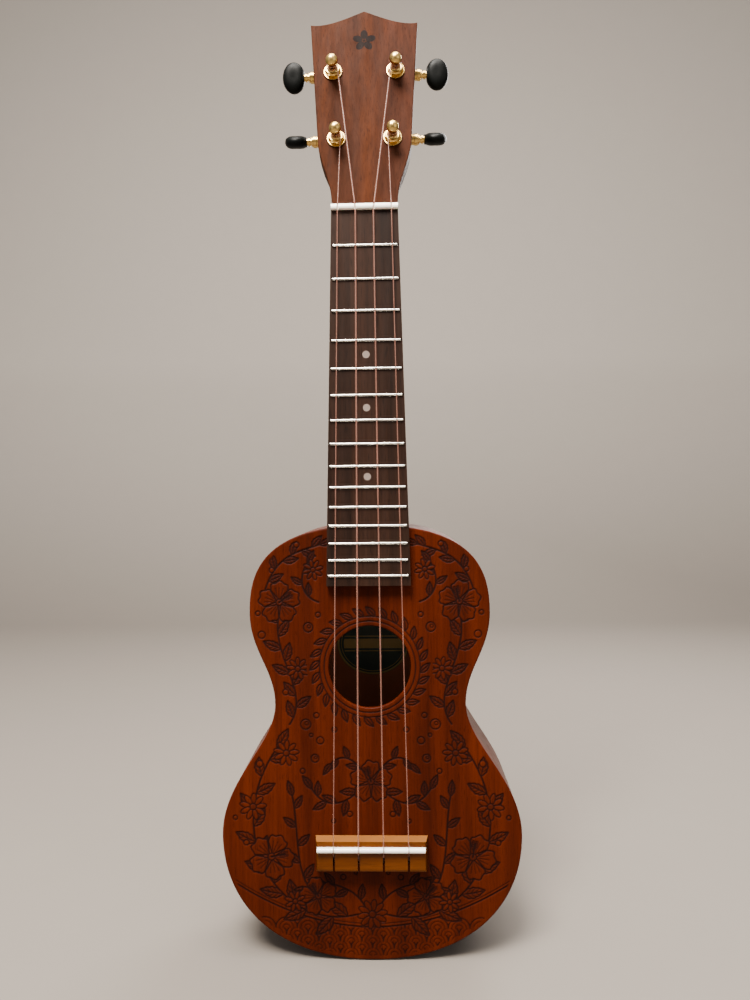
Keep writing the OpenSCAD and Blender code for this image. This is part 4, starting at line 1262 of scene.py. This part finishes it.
def cover_plan():
    """Round below the post and square above it, with rounded corners."""
    half, top_edge, corner = 8.5, BUTTON_UP + 4.5, 2.6
    a = np.linspace(0, math.pi / 2, 10)
    right = np.stack([half - corner + corner * np.cos(a),
                      top_edge - corner + corner * np.sin(a)], 1)
    b = math.pi + np.linspace(0, math.pi, 61)
    low = np.stack([8.9 * np.cos(b), np.maximum(8.9 * np.sin(b), -8.7)], 1)
    return np.concatenate([right, (right * [-1, 1])[::-1], low])


def build_covers():
    face, inner = -HEAD_T - 9.3, -HEAD_T - 8.2
    edge = 0.62
    # inset and height of each ring
    profile = [(0.15, inner), (0.0, inner - 0.12), (0.0, face + edge)]
    profile += [(edge * (1 - math.cos(a)), face + edge - edge * math.sin(a))
                for a in np.linspace(0, math.pi / 2, 6)[1:]]
    profile += [(1.45, face), (1.6, face + 0.04), (1.75, face + 0.16), (1.9, face + 0.2)]
    joined = bmesh.new()
    for index, string in enumerate(STRINGS):
        side = -1 if index < 2 else 1
        rings = [on_head(inset_poly(cover_plan(), inset) * [side, 1] + POSTS[string], z)
                 for inset, z in profile]
        single = loft("cover_tmp", rings, mat_gold)
        joined.from_mesh(single.data)
        bpy.data.objects.remove(single)
    mesh = bpy.data.meshes.new("tuner_covers_stamped")
    joined.to_mesh(mesh)
    joined.free()
    covers = add_object("tuner_covers_stamped", mesh, mat_gold)
    fix_normals(covers)
    mark_sharp(covers, 50)
    flat_normals(covers)
    place(covers, "instrument", ["tuner_covers"])


build_covers()


# ---------------------------------------------------------------- stage, light, camera (metres)

def backdrop():
    """A floor that curves up into a wall behind the instrument."""
    floor = BOTTOM * MM - 0.0004
    bend, wall_y, half = 0.55, 1.55, 3.2
    profile = [(-3.0, 0.0), (wall_y - bend, 0.0)]
    profile += [(wall_y - bend + bend * math.sin(a), bend - bend * math.cos(a))
                for a in np.linspace(0, math.pi / 2, 24)[1:]]
    profile.append((wall_y, 3.2))
    n = len(profile)
    mesh = bpy.data.meshes.new("backdrop")
    mesh.from_pydata([(x, y, floor + z) for x in (-half, half) for y, z in profile], [],
                     [(i, i + 1, n + i + 1, n + i) for i in range(n - 1)])
    mesh.polygons.foreach_set("use_smooth", [True] * (n - 1))
    mat = Shader("pale_backdrop")
    height = mat.geometry("Position")[2]
    rise = mat.mul(mat.math("ADD", height, 0.07), 1.6)
    mottle = mat.ramp(mat.noise((30, 30, 30)), (0.3, 0.985), (0.7, 1.0))
    shade = mat.ramp(rise, (0.0, srgb(115, 108, 101)), (1.0, srgb(166, 158, 150)))
    mat.set(Base_Color=mat.mix(1.0, shade, mottle, "MULTIPLY"), Roughness=0.85,
            Specular_IOR_Level=0.2)
    add_object("backdrop", mesh, mat.material)


def area(name, location, target, size, power, color):
    light = bpy.data.lights.new(name, "AREA")
    light.energy, light.color, light.shape = power, color, "RECTANGLE"
    light.size = light.size_y = size
    obj = add_object(name, light)
    obj.location = location
    aim = Vector(target) - Vector(location)
    obj.rotation_euler = aim.to_track_quat("-Z", "Y").to_euler()
    obj.visible_camera = False


def studio_world():
    """Light graded from dark below to bright above; the camera sees one flat tone."""
    world = bpy.data.worlds.new("studio")
    world.use_nodes = True
    tree = world.node_tree
    background = tree.nodes["Background"]
    separate, ramp, remap, path, mix = (
        tree.nodes.new("ShaderNode" + kind)
        for kind in ("SeparateXYZ", "ValToRGB", "MapRange", "LightPath", "Mix"))
    coords = tree.nodes.new("ShaderNodeTexCoord")
    remap.inputs["From Min"].default_value = -1.0
    elements = ramp.color_ramp.elements
    elements[0].position, elements[0].color = 0.25, (0.10, 0.095, 0.09, 1)
    elements[1].position, elements[1].color = 0.95, (0.80, 0.78, 0.75, 1)
    elements.new(0.5).color = (0.26, 0.26, 0.26, 1)
    mix.data_type = "RGBA"
    mix.inputs[7].default_value = (0.62, 0.56, 0.50, 1)
    for source, socket in (
            (coords.outputs["Generated"], separate.inputs[0]),
            (separate.outputs[2], remap.inputs["Value"]),
            (remap.outputs[0], ramp.inputs[0]),
            (path.outputs["Is Camera Ray"], mix.inputs[0]),
            (ramp.outputs[0], mix.inputs[6]),
            (mix.outputs[2], background.inputs[0])):
        tree.links.new(source, socket)
    background.inputs[1].default_value = 1.0
    bpy.context.scene.world = world


def add_camera(lens, position, pitch, yaw, roll):
    """A camera at a position in mm that looks along +Y, turned by small angles in radians."""
    cp, sp, cy, sy = math.cos(pitch), math.sin(pitch), math.cos(yaw), math.sin(yaw)
    cr, sr = math.cos(roll), math.sin(roll)
    level_view = np.array([[1, 0, 0], [0, 0, -1], [0, 1, 0]], float)
    pitched = np.array([[1, 0, 0], [0, cp, -sp], [0, sp, cp]])
    yawed = np.array([[cy, 0, sy], [0, 1, 0], [-sy, 0, cy]])
    rolled = np.array([[cr, -sr, 0], [sr, cr, 0], [0, 0, 1]])
    right, down, forward = rolled @ pitched @ yawed @ level_view
    pose = np.eye(4)
    pose[:3, 0], pose[:3, 1], pose[:3, 2] = right, -down, -forward
    pose[:3, 3] = np.array(position) * MM
    camera = bpy.data.cameras.new("camera")
    camera.sensor_width = 36
    camera.lens = lens
    camera.clip_start = 0.01
    obj = add_object("camera", camera)
    obj.matrix_world = Matrix(pose.tolist())
    bpy.context.scene.camera = obj


backdrop()
area("key", (-0.28, -0.78, 1.48), target=(0, -0.06, 0.18), size=0.55, power=98,
     color=(1.0, 0.94, 0.86))
area("top", (0.05, -0.22, 1.55), target=(0, -0.06, 0.2), size=0.7, power=34,
     color=(1.0, 0.95, 0.88))
area("fill", (1.2, -1.3, 0.6), target=(0, -0.05, 0.2), size=1.2, power=5,
     color=(1.0, 0.96, 0.93))
area("low_fill", (-1.1, -1.2, 0.3), target=(0, -0.05, 0.1), size=1.0, power=2,
     color=(0.97, 0.97, 1.0))
area("back", (0.42, 0.66, 0.82), target=(0, 0, 0.22), size=0.5, power=15,
     color=(1.0, 0.97, 0.94))
studio_world()
add_camera(lens=27.036, position=(15.927, -475.182, 194.253), pitch=0.00899, yaw=0.02892,
           roll=-0.01087)
